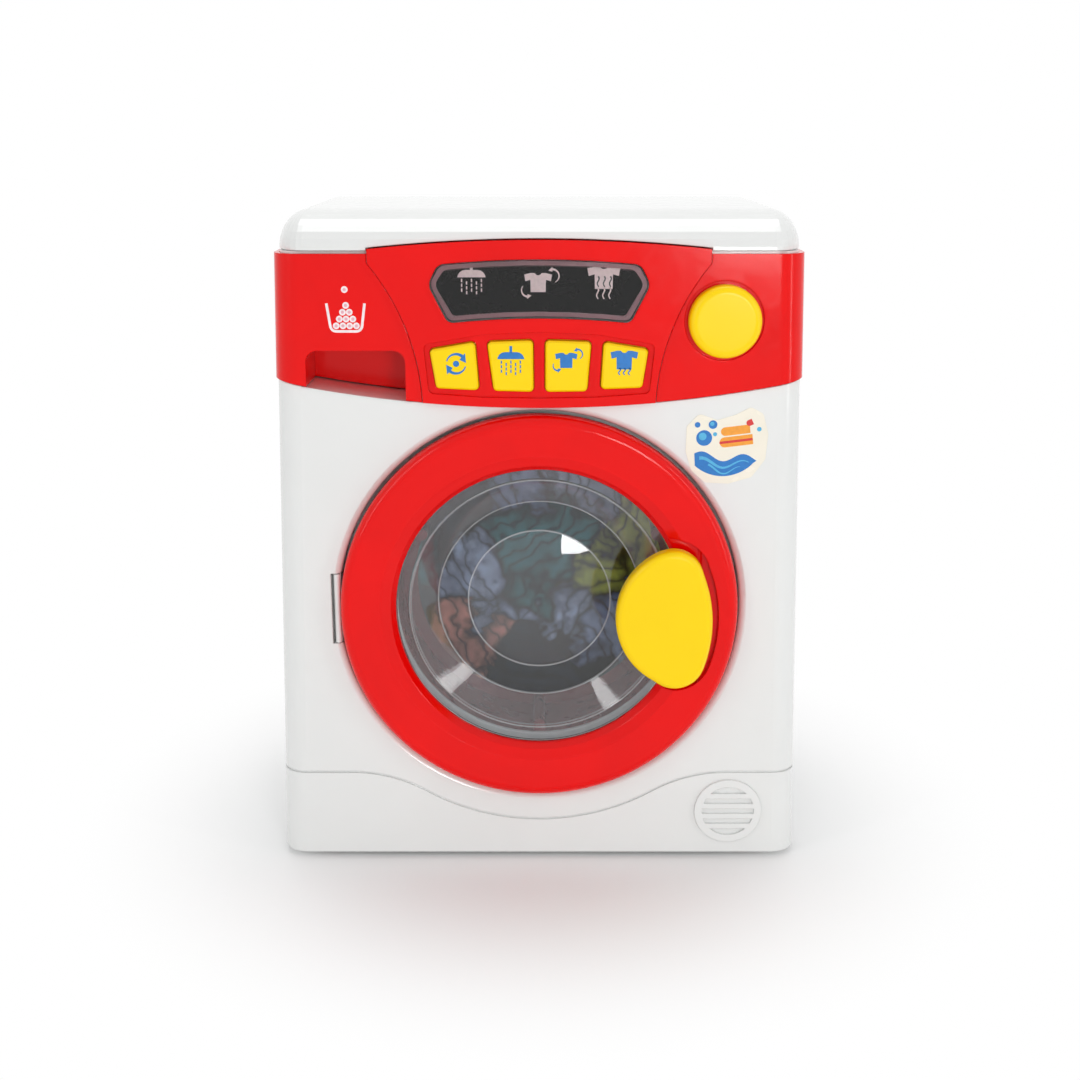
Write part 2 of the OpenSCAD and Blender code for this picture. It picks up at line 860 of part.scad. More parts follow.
// Outline of the display window, clockwise from its left end, with arched long edges
display_top_r = 381;
display_low_r = 330;
display_shoulder = 9.3;
function top_arc_z(x) = display_top - display_top_r + sqrt(display_top_r * display_top_r - x * x);
function low_arc_z(x) = display_bottom - display_low_r + sqrt(display_low_r * display_low_r - x * x);
display_points =
    let (half = display_w / 2, foot = display_foot_w / 2)
    concat(
        [[-half - 0.6, display_top - display_shoulder, 5], [-half + 3.2, top_arc_z(half - 3.2), 4.2]],
        [for (i = [-3:3]) [i * (half - 12) / 3, top_arc_z(i * (half - 12) / 3), 0]],
        [[half - 3.2, top_arc_z(half - 3.2), 4.2], [half + 0.6, display_top - display_shoulder, 5],
         [foot + 1.6, low_arc_z(foot + 1.6), 3.2]],
        [for (i = [3:-1:-3]) [i * (foot - 6) / 3, low_arc_z(i * (foot - 6) / 3), 0]],
        [[-foot - 1.6, low_arc_z(foot + 1.6), 3.2]]
    );
module display_outline(grow) {
    polygon(rounded_each(inflated(display_points, grow)));
}

// Keystone outlines of the four buttons: top-left, top-right, lower right, lower left
button_outlines = [
    [[-41.8, 6.3], [-24.5, 9.3], [-23.1, -9.2], [-39.4, -8.4]],
    [[-19.8, 9.3], [-2.4, 9.9], [-2.2, -9.8], [-17.4, -9.4]],
    [[2.4, 9.9], [19.8, 9.3], [18.3, -9.6], [2.4, -9.8]],
    [[24.6, 9.3], [41.6, 6.5], [39.4, -8.2], [23.6, -8.8]]
];
button_corner = 1.6;

module button_outline(i, grow = 0) {
    translate([0, button_z])
        polygon(rounded_each(inflated([for (q = button_outlines[i]) [q[0], q[1], button_corner]], grow)));
}

// The arched pocket round all four buttons
module pocket_outline() {
    translate([0, button_z])
        polygon(rounded([[-44.2, 8.2], [-22, 12], [0, 12.9], [22, 12], [44.2, 8.2],
                         [42.4, -10.6], [22, -12.1], [0, -12.5], [-22, -12.1], [-42.4, -10.6]], 2.2));
}

skin = 1.2;
module fascia() {
    pocket_floor = fascia_proud - pocket_depth;
    color(red)
    difference() {
        face_slab(-band_rebate, fascia_proud)
            fascia_outline();
        // Hollow back, with a rim that seats on the casing
        face_slab(-band_rebate - 1, pocket_floor - skin)
            intersection() {
                fascia_outline(-3);
                translate([-bay_half, bay_low])
                    square([2 * bay_half, bay_high - bay_low]);
            }
        face_slab(-band_rebate - 1, fascia_proud + 1)
            display_outline(0.15);
        face_slab(pocket_floor, fascia_proud + 1)
            pocket_outline();
        for (i = [0:3])
            face_slab(-band_rebate - 1, fascia_proud + 1)
                button_outline(i, button_gap);
    }
}

module right_panel() {
    color(red)
    difference() {
        union() {
            wing_shell(-band_rebate);
            // Boss that guides the knob's spindle
            y_rod(knob_x, knob_z, spindle_r + 2.4, front_y - band_proud + 1.2, front_y + wall + 2.6);
        }
        y_rod(knob_x, knob_z, knob_r + 1.4, front_y - 10, front_y - band_proud + 1);
        y_rod(knob_x, knob_z, spindle_r + 0.06, front_y - 10, front_y + 20);
    }
}

module display_lens() {
    color([0.75, 0.72, 0.74, 0.4])
    difference() {
        face_slab(fascia_proud - 3, fascia_proud + lens_proud)
            display_outline(0);
        face_slab(fascia_proud - 0.6, fascia_proud + 5)
            display_outline(-lens_rim);
    }
}

module display_mask() {
    color([0.03, 0.03, 0.035])
    face_slab(fascia_proud - 4.4, fascia_proud - 3)
        display_outline(-0.3);
}

// Control board
board_y = front_y + 14;
board_t = 1.6;
board_half = 48.4;
board_screw_x = 46.4;
board_screw_zs = [band_bottom + 8.6, display_top - 7];
board_post_r = 2.4;
board_screw_r = 1;
led_z = 236.5;
led_xs = [-27, 0, 27];
button_xs = [-32.2, -10.5, 10.8, 32.2];
stem_half = 2;
stem_back = 3.2;
flange_t = 1.2;

module control_board() {
    color([0.05, 0.35, 0.15])
    difference() {
        span([-board_half, board_y, band_bottom + 4.4], [board_half, board_y + board_t, display_top - 2]);
        for (side = [-1, 1])
            for (z = board_screw_zs)
                y_rod(side * board_screw_x, z, board_screw_r + 0.15, board_y - 1, board_y + 5);
    }
}

module board_screws() {
    color(steel)
    for (side = [-1, 1])
        for (z = board_screw_zs) {
            y_rod(side * board_screw_x, z, board_screw_r, board_y - 5, board_y + board_t + 0.1);
            y_rod(side * board_screw_x, z, 2, board_y + board_t, board_y + board_t + 1.4);
        }
}

module indicator_leds() {
    color([0.9, 0.9, 0.85])
    for (x = led_xs) {
        y_rod(x, led_z, 1.9, board_y - 5, board_y);
        y_rod(x, led_z, 2.3, board_y - 1, board_y);
    }
}

// Rest position of the button stems' ends, and the switches just behind their travel
stem_end_y = front_y + stem_back + 2.4;
module button_switches() {
    color([0.1, 0.1, 0.1])
    for (x = button_xs) {
        span([x - 3, board_y - 3.4, button_z - 3], [x + 3, board_y, button_z + 3]);
        y_rod(x, button_z, 1.6, stem_end_y + button_travel + 0.3, board_y - 3.3);
    }
}

// Rubber pad with a collar round each stem
pad_y = front_y + 6.4;
module key_pad() {
    color([0.85, 0.85, 0.84])
    difference() {
        union() {
            span([-bay_half + 1, pad_y, button_z - 9], [bay_half - 1, pad_y + 1.2, button_z + 9]);
            for (x = button_xs)
                span([x - 4.4, pad_y - 1.2, button_z - 4.4], [x + 4.4, pad_y + 3.2, button_z + 4.4]);
            // Legs that stand on the board
            for (x = [-21.4, 0, 21.4])
                span([x - 1, pad_y, button_z - 8], [x + 1, board_y, button_z + 8]);
        }
        for (x = button_xs)
            span([x - stem_half - 0.5, pad_y - 5, button_z - stem_half - 0.5],
                 [x + stem_half + 0.5, pad_y + 5, button_z + stem_half + 0.5]);
    }
}

// One push button: a key with a soft edge, a flange behind the fascia and a stem
module push_button(i) {
    face = fascia_proud + button_proud;
    behind = fascia_proud - pocket_depth - skin - 0.3;
    x = button_xs[i];
    color(yellow) {
        hull() {
            face_slab(behind - 0.1, face - 0.7)
                button_outline(i);
            face_slab(behind, face)
                button_outline(i, -0.7);
        }
        face_slab(behind - flange_t, behind)
            button_outline(i, 0.9);
        span([x - stem_half, front_y - behind, button_z - stem_half],
             [x + stem_half, stem_end_y, button_z + stem_half]);
    }
}

module button_cycle() {
    push_button(0);
}

module button_wash() {
    push_button(1);
}

module button_spin() {
    push_button(2);
}

module button_dry() {
    push_button(3);
}

// Knob with a soft rounded edge, hollow behind
knob_round = 3;
module knob() {
    back = band_proud - 0.6;
    color(yellow)
    translate([knob_x, front_y, knob_z])
        rotate([90, 0, 0])
            rotate_extrude()
                difference() {
                    union() {
                        translate([0, back])
                            square([knob_r, knob_proud - knob_round - back]);
                        translate([0, back])
                            square([knob_r - knob_round, knob_proud - back]);
                        translate([knob_r - knob_round, knob_proud - knob_round])
                            circle(knob_round);
                        translate([0, -wall - 5.6])
                            square([spindle_r, wall + 7]);
                    }
                    translate([spindle_r + 2.6, back - 1])
                        square([knob_r - spindle_r - 4.4, knob_proud - back - 1.4]);
                }
}

// Rotary switch on a bracket of its own, behind the right panel
module selector_switch() {
    y0 = front_y + wall + 3.2;
    color([0.12, 0.12, 0.13])
    difference() {
        union() {
            span([knob_x - 8, y0, knob_z - 8], [knob_x + 8, y0 + 7, knob_z + 8]);
            span([knob_x - 15.5, y0 - 0.5, knob_z - 3], [knob_x + 15.5, y0 + 0.8, knob_z + 3]);
            for (side = [-1, 1])
                span([knob_x + side * 14 - 1.5, front_y + wall, knob_z - 3], [knob_x + side * 14 + 1.5, y0, knob_z + 3]);
        }
        y_rod(knob_x, knob_z, spindle_r + 0.06, y0 - 5, y0 + 5);
    }
}

module drawer_front() {
    pocket_back = front_y + grip_depth;
    color(red)
    difference() {
        union() {
            mirror([1, 0, 0])
                wing_shell(-band_rebate + drawer_gap);
            // Walls of the finger recess
            depth_slab(front_y - band_proud + 0.4, pocket_back + tray_wall)
                intersection() {
                    grip_outline(tray_wall);
                    translate([0, band_bottom + band_curve_r])
                        circle(band_curve_r, $fn = 720);
                }
        }
        depth_slab(front_y - 10, pocket_back)
            grip_outline(0);
    }
}

module drawer_tray() {
    y0 = front_y + band_rebate - drawer_gap;
    y1 = front_y + tray_depth;
    high = tray_low + tray_h;
    color([0.93, 0.93, 0.92])
    difference() {
        union() {
            span([tray_left, y0, tray_low], [tray_right, y1, high]);
            // Flanges that ride on the guide's rails
            span([tray_left - tray_flange, front_y + 5, high - 1.6], [tray_right + tray_flange, y1, high]);
        }
        span([tray_left + tray_wall, y0 + tray_wall, tray_low + tray_wall], [tray_right - tray_wall, y1 - tray_wall, high + 1]);
    }
}

// Cradle behind the front wall, with a rail on each side under the tray's flanges
module drawer_guide() {
    high = tray_low + tray_h;
    left = tray_left - tray_flange - drawer_gap - guide_wall;
    right = tray_right + tray_flange + drawer_gap + guide_wall;
    y0 = front_y + wall;
    y1 = front_y + tray_depth + 1;
    color([0.86, 0.87, 0.87])
    difference() {
        span([left, y0, high - 12], [right, y1 + guide_wall, high + 0.8]);
        span([tray_left - drawer_gap, y0 - 1, high - 13], [tray_right + drawer_gap, y1, high + 2]);
        span([left + guide_wall, y0 - 1, high - 1.6 - drawer_gap], [right - guide_wall, y1, high + 2]);
        // Room for the cabinet's rounded corner
        span([left - 1, y0 - 1, high - 13], [left + guide_wall + 0.1, y0 + 2, high + 2]);
    }
}

// The handle's egg outline: four tangent arcs, in x and height above the door's middle
egg_left = [59.8, -0.7, 29.6];
egg_right = [12.6, -3.2, 55.9];
egg_top = [52.7, 15.2, 12];
egg_low = [54.0, -18.0, 11.9];

module egg(grow = 0) {
    translate([0, door_z]) {
        difference() {
            intersection() {
                translate([egg_left[0], egg_left[1]])
                    circle(egg_left[2] + grow, $fn = 128);
                translate([egg_right[0], egg_right[1]])
                    circle(egg_right[2] + grow, $fn = 240);
            }
            polygon([[40, egg_top[1] + 17], [tip(egg_left, egg_top)[0], tip(egg_left, egg_top)[1]],
                     [tip(egg_right, egg_top)[0], tip(egg_right, egg_top)[1]], [90, egg_top[1] - 2], [90, 60], [40, 60]]);
            polygon([[40, egg_low[1] - 17], [tip(egg_left, egg_low)[0], tip(egg_left, egg_low)[1]],
                     [tip(egg_right, egg_low)[0], tip(egg_right, egg_low)[1]], [90, egg_low[1] + 2], [90, -60], [40, -60]]);
        }
        for (e = [egg_top, egg_low])
            translate([e[0], e[1]])
                circle(e[2] + grow, $fn = 96);
    }
}

// Where an end circle touches a side arc
function tip(side, end) =
    let (way = [end[0] - side[0], end[1] - side[1]])
    [end[0], end[1]] + way / norm(way) * end[2];

// Half-section of the ring: the outer surface, then the hollow behind it
ring_back = -2.4;
rim_back = -1;
slope_r = ring_in_r + 6;
module ring_solid() {
    translate([ring_r - lip_r, ring_proud - lip_r])
        circle(lip_r, $fn = 48);
    polygon([[ring_in_r, rim_back], [ring_in_r, 0.6], [ring_in_r + 1.9, ring_proud - 2.9], [slope_r, ring_proud - 0.7],
             [ring_r - lip_r, ring_proud], [ring_r - lip_r, ring_proud - lip_r], [ring_r, ring_proud - lip_r],
             [ring_r, rim_back]]);
}

module ring_section() {
    difference() {
        union() {
            ring_solid();
            translate([ring_r - door_wall, ring_back])
                square([door_wall, 3]);
        }
        polygon([[ring_in_r + door_wall, rim_back - 5], [ring_in_r + door_wall, 0], [slope_r + 0.6, ring_proud - 0.7 - door_wall],
                 [ring_r - lip_r, ring_proud - door_wall], [ring_r - door_wall, ring_proud - lip_r],
                 [ring_r - door_wall, ring_back - 5]]);
    }
}

door_screw_r = 68.5;
door_screw_angles = [45, 135, 225, 315];
function door_screw_x(a) = door_screw_r * cos(a);
function door_screw_z(a) = door_z + door_screw_r * sin(a);

// The handle's pin, its ears and the latch
pivot_y = front_y - pivot_proud;
pivot_z = door_z - 1.5;
lever_half = 9;
ear_t = 3;
spring_l = 3;
ear_r = 2.4;
pocket_proud = ring_proud - 3.4;
latch_half = 5;
latch_out = 9.7;
latch_in = 7.2;

module ring_envelope() {
    about_door()
        difference() {
            ring_solid();
            translate([-20, -20])
                square([ring_in_r + 20, 60]);
        }
}

module pivot_ear(z0, z1) {
    translate([pivot_x, pivot_y, z0])
        cylinder(r = ear_r, h = z1 - z0);
    span([pivot_x - ear_r, pivot_y, z0], [pivot_x + ear_r, front_y - pocket_proud + door_wall, z1]);
}

module door_ring() {
    color(red)
    difference() {
        union() {
            difference() {
                union() {
                    about_door()
                        ring_section();
                    intersection() {
                        ring_envelope();
                        face_slab(pocket_proud - door_wall, 20)
                            egg(handle_gap + door_wall);
                    }
                }
                face_slab(pocket_proud, 30)
                    egg(handle_gap);
                // Slot for the handle's barrel and latch arm
                span([pivot_x - 4.2, front_y - 10, pivot_z - lever_half - 0.2],
                     [pivot_x + 3.6, front_y + 1, pivot_z + lever_half + spring_l + 0.4]);
            }
            pivot_ear(pivot_z + lever_half + spring_l + 0.4, pivot_z + lever_half + spring_l + 0.4 + ear_t);
            pivot_ear(pivot_z - lever_half - 0.2 - ear_t, pivot_z - lever_half - 0.2);
            for (a = door_screw_angles)
                y_rod(door_screw_x(a), door_screw_z(a), 2.8, front_y - ring_proud + door_wall - 0.6, front_y - ring_back);
        }
        translate([pivot_x, pivot_y, pivot_z - 30])
            cylinder(r = pivot_pin_r + 0.02, h = 60);
        for (a = door_screw_angles)
            y_rod(door_screw_x(a), door_screw_z(a), 1.02, front_y - 1.6, front_y + 10);
    }
}

back_ring_r = ring_r - 1.7;
module door_back() {
    color([0.16, 0.05, 0.06])
    difference() {
        union() {
            about_door()
                translate([ring_in_r + 0.5, ring_back - door_wall])
                    square([back_ring_r - ring_in_r - 0.5, door_wall]);
            // Hinge barrel, its neck and its web
            translate([-hinge_x, front_y + hinge_in, door_z - barrel_half])
                cylinder(r = barrel_r, h = 2 * barrel_half);
            span([-hinge_x - barrel_r, front_y + hinge_in, door_z - barrel_half],
                 [-hinge_x + 0.8 * barrel_r, front_y - ring_back + door_wall, door_z + barrel_half]);
            span([-hinge_x, front_y - ring_back, door_z - barrel_half],
                 [-back_ring_r + 3, front_y - ring_back + door_wall, door_z + barrel_half]);
        }
        translate([-hinge_x, front_y + hinge_in, door_z - barrel_half - 1])
            cylinder(r = hinge_pin_r + 0.06, h = 2 * barrel_half + 2);
        span([pivot_x - 4.6, front_y - 10, pivot_z - latch_half - 1.4],
             [pivot_x + 4, front_y + 10, pivot_z + latch_half + 1.4]);
        for (a = door_screw_angles)
            y_rod(door_screw_x(a), door_screw_z(a), 1.2, front_y - 10, front_y + 10);
    }
}

module door_screws() {
    y = front_y - ring_back + door_wall;
    color(steel)
    for (a = door_screw_angles) {
        y_rod(door_screw_x(a), door_screw_z(a), 1, front_y - 1.4, y + 0.1);
        y_rod(door_screw_x(a), door_screw_z(a), 2, y, y + 1.3);
    }
}

// The window is a stepped bowl that dips towards the drum, with a shallow dome in its middle
step_a = [52.3, -3.2];
step_b = 41.2;
step_c = 29;
dome_rise = 3.5;
module door_window() {
    dome_r = (step_c * step_c + dome_rise * dome_rise) / (2 * dome_rise);
    color([0.85, 0.88, 0.88, 0.35])
    about_door() {
        polygon([
            [ring_in_r + 3.1, rim_back], [ring_in_r - 0.5, rim_back], step_a, [step_b, -bowl_depth],
            [step_c, -bowl_depth], [step_c, -bowl_depth - bowl_wall], [step_b + 0.8, -bowl_depth - bowl_wall],
            step_a + [0.9, -bowl_wall], [ring_in_r + 0.2, ring_back], [ring_in_r + 3.1, ring_back]]);
        intersection() {
            difference() {
                translate([0, -bowl_depth + dome_rise - dome_r])
                    circle(dome_r, $fn = 240);
                translate([0, -bowl_depth + dome_rise - dome_r - bowl_wall])
                    circle(dome_r, $fn = 240);
            }
            translate([0, -bowl_depth - bowl_wall])
                square([step_c + 0.2, 20]);
        }
    }
}

module hinge_pin() {
    color(steel)
    translate([-hinge_x, front_y + hinge_in, door_z - barrel_half - lug_out + 1])
        cylinder(r = hinge_pin_r, h = 2 * (barrel_half + lug_out - 1), $fn = 32);
}

// Rounded keeper that the latch's hook snaps past
module door_catch() {
    x0 = pivot_x + latch_out + 0.9;
    x1 = opening_r - 0.4;
    floor_y = front_y + recess_depth;
    color([0.85, 0.86, 0.86]) {
        span([x0 + 0.9, floor_y - 4.8, pivot_z - latch_half], [x1, floor_y, pivot_z + latch_half]);
        translate([x0 + 0.9, floor_y - 3.9, pivot_z - latch_half])
            cylinder(r = 0.9, h = 2 * latch_half, $fn = 32);
    }
}

handle_edge = 2.6;
module handle() {
    under = handle_proud - handle_t;
    color(yellow)
    difference() {
        union() {
            // Grip with a soft edge all round its face
            hull()
                for (a = [0:15:90])
                    face_slab(under + 0.4, handle_proud - handle_edge * (1 - sin(a)))
                        egg(-handle_edge * (1 - cos(a)));
            face_slab(under, under + 1)
                egg(-0.6);
            // Barrel on the pin, and the web that carries it
            translate([pivot_x, pivot_y, pivot_z - lever_half])
                cylinder(r = pivot_pin_r + 1.4, h = 2 * lever_half);
            span([pivot_x - 1.6, front_y - under - 1, pivot_z - lever_half],
                 [pivot_x + 1.6, pivot_y, pivot_z + lever_half]);
            // Latch arm and its hook
            span([pivot_x - 0.5, pivot_y, pivot_z - latch_half],
                 [pivot_x + 2.5, front_y + latch_in, pivot_z + latch_half]);
            span([pivot_x - 0.5, front_y + latch_in - 2, pivot_z - latch_half],
                 [pivot_x + latch_out - 1, front_y + latch_in, pivot_z + latch_half]);
            translate([pivot_x + latch_out - 1, front_y + latch_in - 1, pivot_z - latch_half])
                cylinder(r = 1, h = 2 * latch_half, $fn = 32);
        }
        translate([pivot_x, pivot_y, pivot_z - 30])
            cylinder(r = pivot_pin_r + 0.06, h = 60);
    }
}

module handle_pin() {
    color(steel)
    translate([pivot_x, pivot_y, pivot_z - lever_half - ear_t - 0.2])
        cylinder(r = pivot_pin_r, h = 2 * lever_half + 2 * ear_t + spring_l + 0.6, $fn = 32);
}

module latch_spring() {
    color(steel)
    translate([pivot_x, pivot_y, pivot_z + lever_half + 0.2])
        difference() {
            cylinder(r = pivot_pin_r + 1, h = spring_l);
            translate([0, 0, -1])
                cylinder(r = pivot_pin_r + 0.1, h = spring_l + 2);
        }
}

// Tub: a fixed drum housing behind the door recess
tub_clear = 1.2;
tub_wall = 1.8;
tub_r = drum_r + drum_wall + tub_clear;
tub_front = front_y + recess_depth + recess_floor_t;
drum_floor_y = front_y + drum_floor_in;
tub_back = drum_floor_y + 6;
tub_flange_r = 72;
tub_screw_angles = [45, 135, 225, 315];
tub_screw_ring = tub_flange_r - 4;
function tub_screw_x(a) = tub_screw_ring * cos(a);
function tub_screw_z(a) = door_z + tub_screw_ring * sin(a);
bush_r = shaft_r + 2;
lifter_h = 5;
lifter_r = 2.5;

module tub() {
    color([0.82, 0.83, 0.84])
    difference() {
        union() {
            y_rod(0, door_z, tub_r + tub_wall, tub_front, tub_back);
            y_rod(0, door_z, tub_flange_r, tub_front, tub_front + 2);
        }
        y_rod(0, door_z, tub_r, tub_front - 1, tub_back - 2);
        y_rod(0, door_z, bush_r + eps, tub_back - 5, tub_back + 5);
        for (a = tub_screw_angles)
            y_rod(tub_screw_x(a), tub_screw_z(a), 1.15, tub_front - 1, tub_front + 5);
        for (x = case_screw_xs)
            for (side = [-1, 1])
                y_rod(x, door_z + side * case_screw_z, 1.02, tub_back - 1.6, tub_back + 1);
    }
}

module tub_screws() {
    color(steel)
    for (a = tub_screw_angles) {
        y_rod(tub_screw_x(a), tub_screw_z(a), 1, front_y + recess_depth + 0.5, tub_front + 2.1);
        y_rod(tub_screw_x(a), tub_screw_z(a), 2.2, tub_front + 2, tub_front + 3.6);
    }
}

module shaft_bush() {
    color([0.95, 0.93, 0.85])
    difference() {
        union() {
            y_rod(0, door_z, bush_r, tub_back - 2, tub_back + 1);
            y_rod(0, door_z, bush_r + 1.5, tub_back, tub_back + 1);
        }
        y_rod(0, door_z, shaft_r + 0.05, tub_back - 5, tub_back + 5);
    }
}

module drum() {
    color([0.45, 0.03, 0.06])
    difference() {
        union() {
            y_rod(0, door_z, drum_r + drum_wall, tub_front + 0.6, drum_floor_y + 2);
            y_rod(0, door_z, shaft_r + 2.5, drum_floor_y, tub_back - 2.4);
        }
        difference() {
            y_rod(0, door_z, drum_r, tub_front - 1, drum_floor_y);
            // Three lifters
            for (i = [0:2])
                translate([0, 0, door_z])
                    rotate([0, 90 + 120 * i, 0]) {
                        y_rod(drum_r - lifter_h + lifter_r, 0, lifter_r, tub_front, drum_floor_y + 1);
                        span([drum_r - lifter_h + lifter_r, tub_front, -lifter_r], [drum_r + 1, drum_floor_y + 1, lifter_r]);
                    }
        }
        y_rod(0, door_z, shaft_r + eps, drum_floor_y + 0.8, tub_back + 5);
    }
}

module drum_card() {
    color([0.40, 0.42, 0.38])
    y_rod(0, door_z, drum_r - lifter_h - 0.3, drum_floor_y - 0.6, drum_floor_y);
}

// Gear train: drum gear, idler and motor pinion, side by side
gear_y = tub_back + 2.4;
idler_y = gear_y + gear_w + 1.4;
case_back = idler_y + gear_w + 1.4;
case_t = 1.6;
idler_x = gear_m * (drum_teeth + pinion_teeth) / 2;
motor_x = idler_x + gear_m * (idler_teeth + pinion_teeth) / 2;
tooth_high = 0.9;
tooth_deep = 1.25;
case_left = -gear_m * (drum_teeth / 2 + 1) - 3;
case_right = motor_x + 12;
case_half = gear_m * (drum_teeth / 2 + 1) + 3;
case_screw_xs = [case_left + 3, case_right - 8];
case_screw_z = case_half - 3;

// Points of one tooth, from root to tip and back, at an angle
function tooth(n, a) =
    let (r = gear_m * n / 2, turn = 180 / PI)
    [for (q = [[-tooth_deep, -0.98], [-0.45, -0.78], [0, -0.64], [0.45, -0.47], [tooth_high, -0.27],
               [tooth_high, 0.27], [0.45, 0.47], [0, 0.64], [-0.45, 0.78], [-tooth_deep, 0.98]])
        let (rr = r + q[0] * gear_m, aa = a + q[1] * gear_m / r * turn)
        rr * [cos(aa), sin(aa)]];

module spur(n, first, y0, y1) {
    depth_slab(y0, y1)
        polygon([for (i = [0:n - 1]) for (q = tooth(n, first + i * 360 / n)) q]);
}

module drum_shaft() {
    color(steel)
    y_rod(0, door_z, shaft_r, drum_floor_y + 0.9, case_back + case_t - 0.2);
}

module drum_gear() {
    color([0.93, 0.93, 0.88])
    difference() {
        union() {
            translate([0, 0, door_z])
                spur(drum_teeth, 0, gear_y, gear_y + gear_w);
            y_rod(0, door_z, shaft_r + 2.5, gear_y - 1, gear_y + gear_w + 1);
        }
        y_rod(0, door_z, shaft_r, gear_y - 5, gear_y + gear_w + 5);
    }
}

module idler_gear() {
    half_pitch = 180 / pinion_teeth;
    color([0.93, 0.93, 0.88])
    difference() {
        translate([idler_x, 0, door_z]) {
            spur(pinion_teeth, half_pitch * ((pinion_teeth / 2) % 1 == 0 ? 1 : 0), gear_y - 0.5, idler_y + 0.1);
            spur(idler_teeth, 0, idler_y, idler_y + gear_w);
        }
        y_rod(idler_x, door_z, 1.05, gear_y - 5, case_back + 5);
    }
}

module idler_axle() {
    color(steel)
    y_rod(idler_x, door_z, 1, tub_back + 0.1, case_back + case_t - 0.2);
}

module motor_pinion() {
    half_pitch = 180 / pinion_teeth;
    color([0.75, 0.6, 0.25]) {
        translate([motor_x, 0, door_z])
            spur(pinion_teeth, half_pitch, idler_y - 0.5, idler_y + gear_w + 0.4);
        y_rod(motor_x, door_z, 1, idler_y - 1, case_back + case_t + 3);
    }
}

// Motor with flats above and below
motor_r = 10;
motor_flat = 7.5;
motor_l = 25;
module motor() {
    y0 = case_back + case_t;
    color([0.72, 0.73, 0.75])
    difference() {
        union() {
            intersection() {
                y_rod(motor_x, door_z, motor_r, y0, y0 + motor_l);
                span([motor_x - motor_r - 1, y0, door_z - motor_flat], [motor_x + motor_r + 1, y0 + motor_l, door_z + motor_flat]);
            }
            y_rod(motor_x, door_z, 3, y0 - 1.2, y0 + 1);
            for (side = [-1, 1])
                span([motor_x - 1.2, y0 + motor_l - 0.5, door_z + side * 5 - 0.3], [motor_x + 1.2, y0 + motor_l + 3, door_z + side * 5 + 0.3]);
        }
        y_rod(motor_x, door_z, 1.05, y0 - 5, y0 + 4);
    }
}

// Case over the gears, with a saddle for the motor
module gearbox_case() {
    y1 = case_back + case_t;
    color([0.25, 0.26, 0.28])
    difference() {
        union() {
            difference() {
                span([case_left, tub_back, door_z - case_half], [case_right, y1, door_z + case_half]);
                span([case_left + case_t, tub_back - 1, door_z - case_half + case_t],
                     [case_right - case_t, case_back, door_z + case_half - case_t]);
            }
            for (x = case_screw_xs)
                for (side = [-1, 1])
                    y_rod(x, door_z + side * case_screw_z, 3, tub_back, y1);
            for (side = [-1, 1])
                span([motor_x - motor_r, y1 - 0.5, door_z + side * (motor_flat + 0.9) - 0.8],
                     [motor_x + motor_r, y1 + motor_l * 0.6, door_z + side * (motor_flat + 0.9) + 0.8]);
        }
        y_rod(motor_x, door_z, 3.05, tub_back, y1 + 1);
        y_rod(0, door_z, shaft_r + 0.05, tub_back, y1 + 1);
        y_rod(idler_x, door_z, 1.01, tub_back, y1 + 1);
        for (x = case_screw_xs)
            for (side = [-1, 1])
                y_rod(x, door_z + side * case_screw_z, 1.15, tub_back - 1, y1 + 1);
    }
}

module gearbox_screws() {
    color(steel)
    for (x = case_screw_xs)
        for (side = [-1, 1]) {
            y_rod(x, door_z + side * case_screw_z, 1, tub_back - 1.5, case_back + case_t + 0.1);
            y_rod(x, door_z + side * case_screw_z, 2.2, case_back + case_t, case_back + case_t + 1.6);
        }
}

module speaker() {
    y1 = back_y - wall;
    color([0.15, 0.15, 0.16]) {
        y_rod(0, speaker_z, speaker_r, y1 - 3, y1);
        y_rod(0, speaker_z, speaker_r * 0.62, y1 - 6, y1 - 2.9);
        y_rod(0, speaker_z, speaker_r * 0.42, y1 - 10, y1 - 5.9);
    }
}

// Ring that holds the speaker against the rear wall
module speaker_clamp() {
    y1 = back_y - wall;
    color([0.86, 0.87, 0.87])
    difference() {
        y_rod(0, speaker_z, speaker_r + 3, y1 - 5, y1);
        y_rod(0, speaker_z, speaker_r + 0.2, y1 - 3, y1 + 1);
        y_rod(0, speaker_z, speaker_r * 0.62 + 1, y1 - 10, y1 + 1);
    }
}

// Label on the front, above the door and to the right
label_outline = [
    [57.2, 184], [62, 189], [69, 186.4], [76, 188.5], [82, 191.6], [86.8, 189],
    [89, 181], [88.2, 171], [83, 163.8], [74, 161.2], [65, 161.6], [59.4, 166.4], [57, 174]
];
module label() {
    color([0.95, 0.93, 0.86])
    face_slab(0, 0.2)
        polygon(rounded(label_outline, 2.4));
}

front_casing();
rear_casing();
lid();
feet();
casing_screws();
lid_screws();
fascia();
right_panel();
display_lens();
display_mask();
control_board();
indicator_leds();
button_switches();
key_pad();
board_screws();
selector_switch();
button_cycle();
button_wash();
button_spin();
button_dry();
knob();
drawer_front();
drawer_tray();
drawer_guide();
door_ring();
door_back();
door_window();
door_screws();
hinge_pin();
door_catch();
handle();
handle_pin();
latch_spring();
tub();
tub_screws();
shaft_bush();
drum();
drum_card();
drum_shaft();
drum_gear();
gearbox_case();
gearbox_screws();
idler_axle();
idler_gear();
motor();
motor_pinion();
speaker();
speaker_clamp();
battery_cells();
battery_contacts();
battery_cover();
cover_screw();
label();
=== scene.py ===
"""Dresses the toy washing machine: finishes, printed signs, label, picture card, lights and camera."""

from __future__ import annotations

import logging
import math
from dataclasses import dataclass, field
from enum import Enum

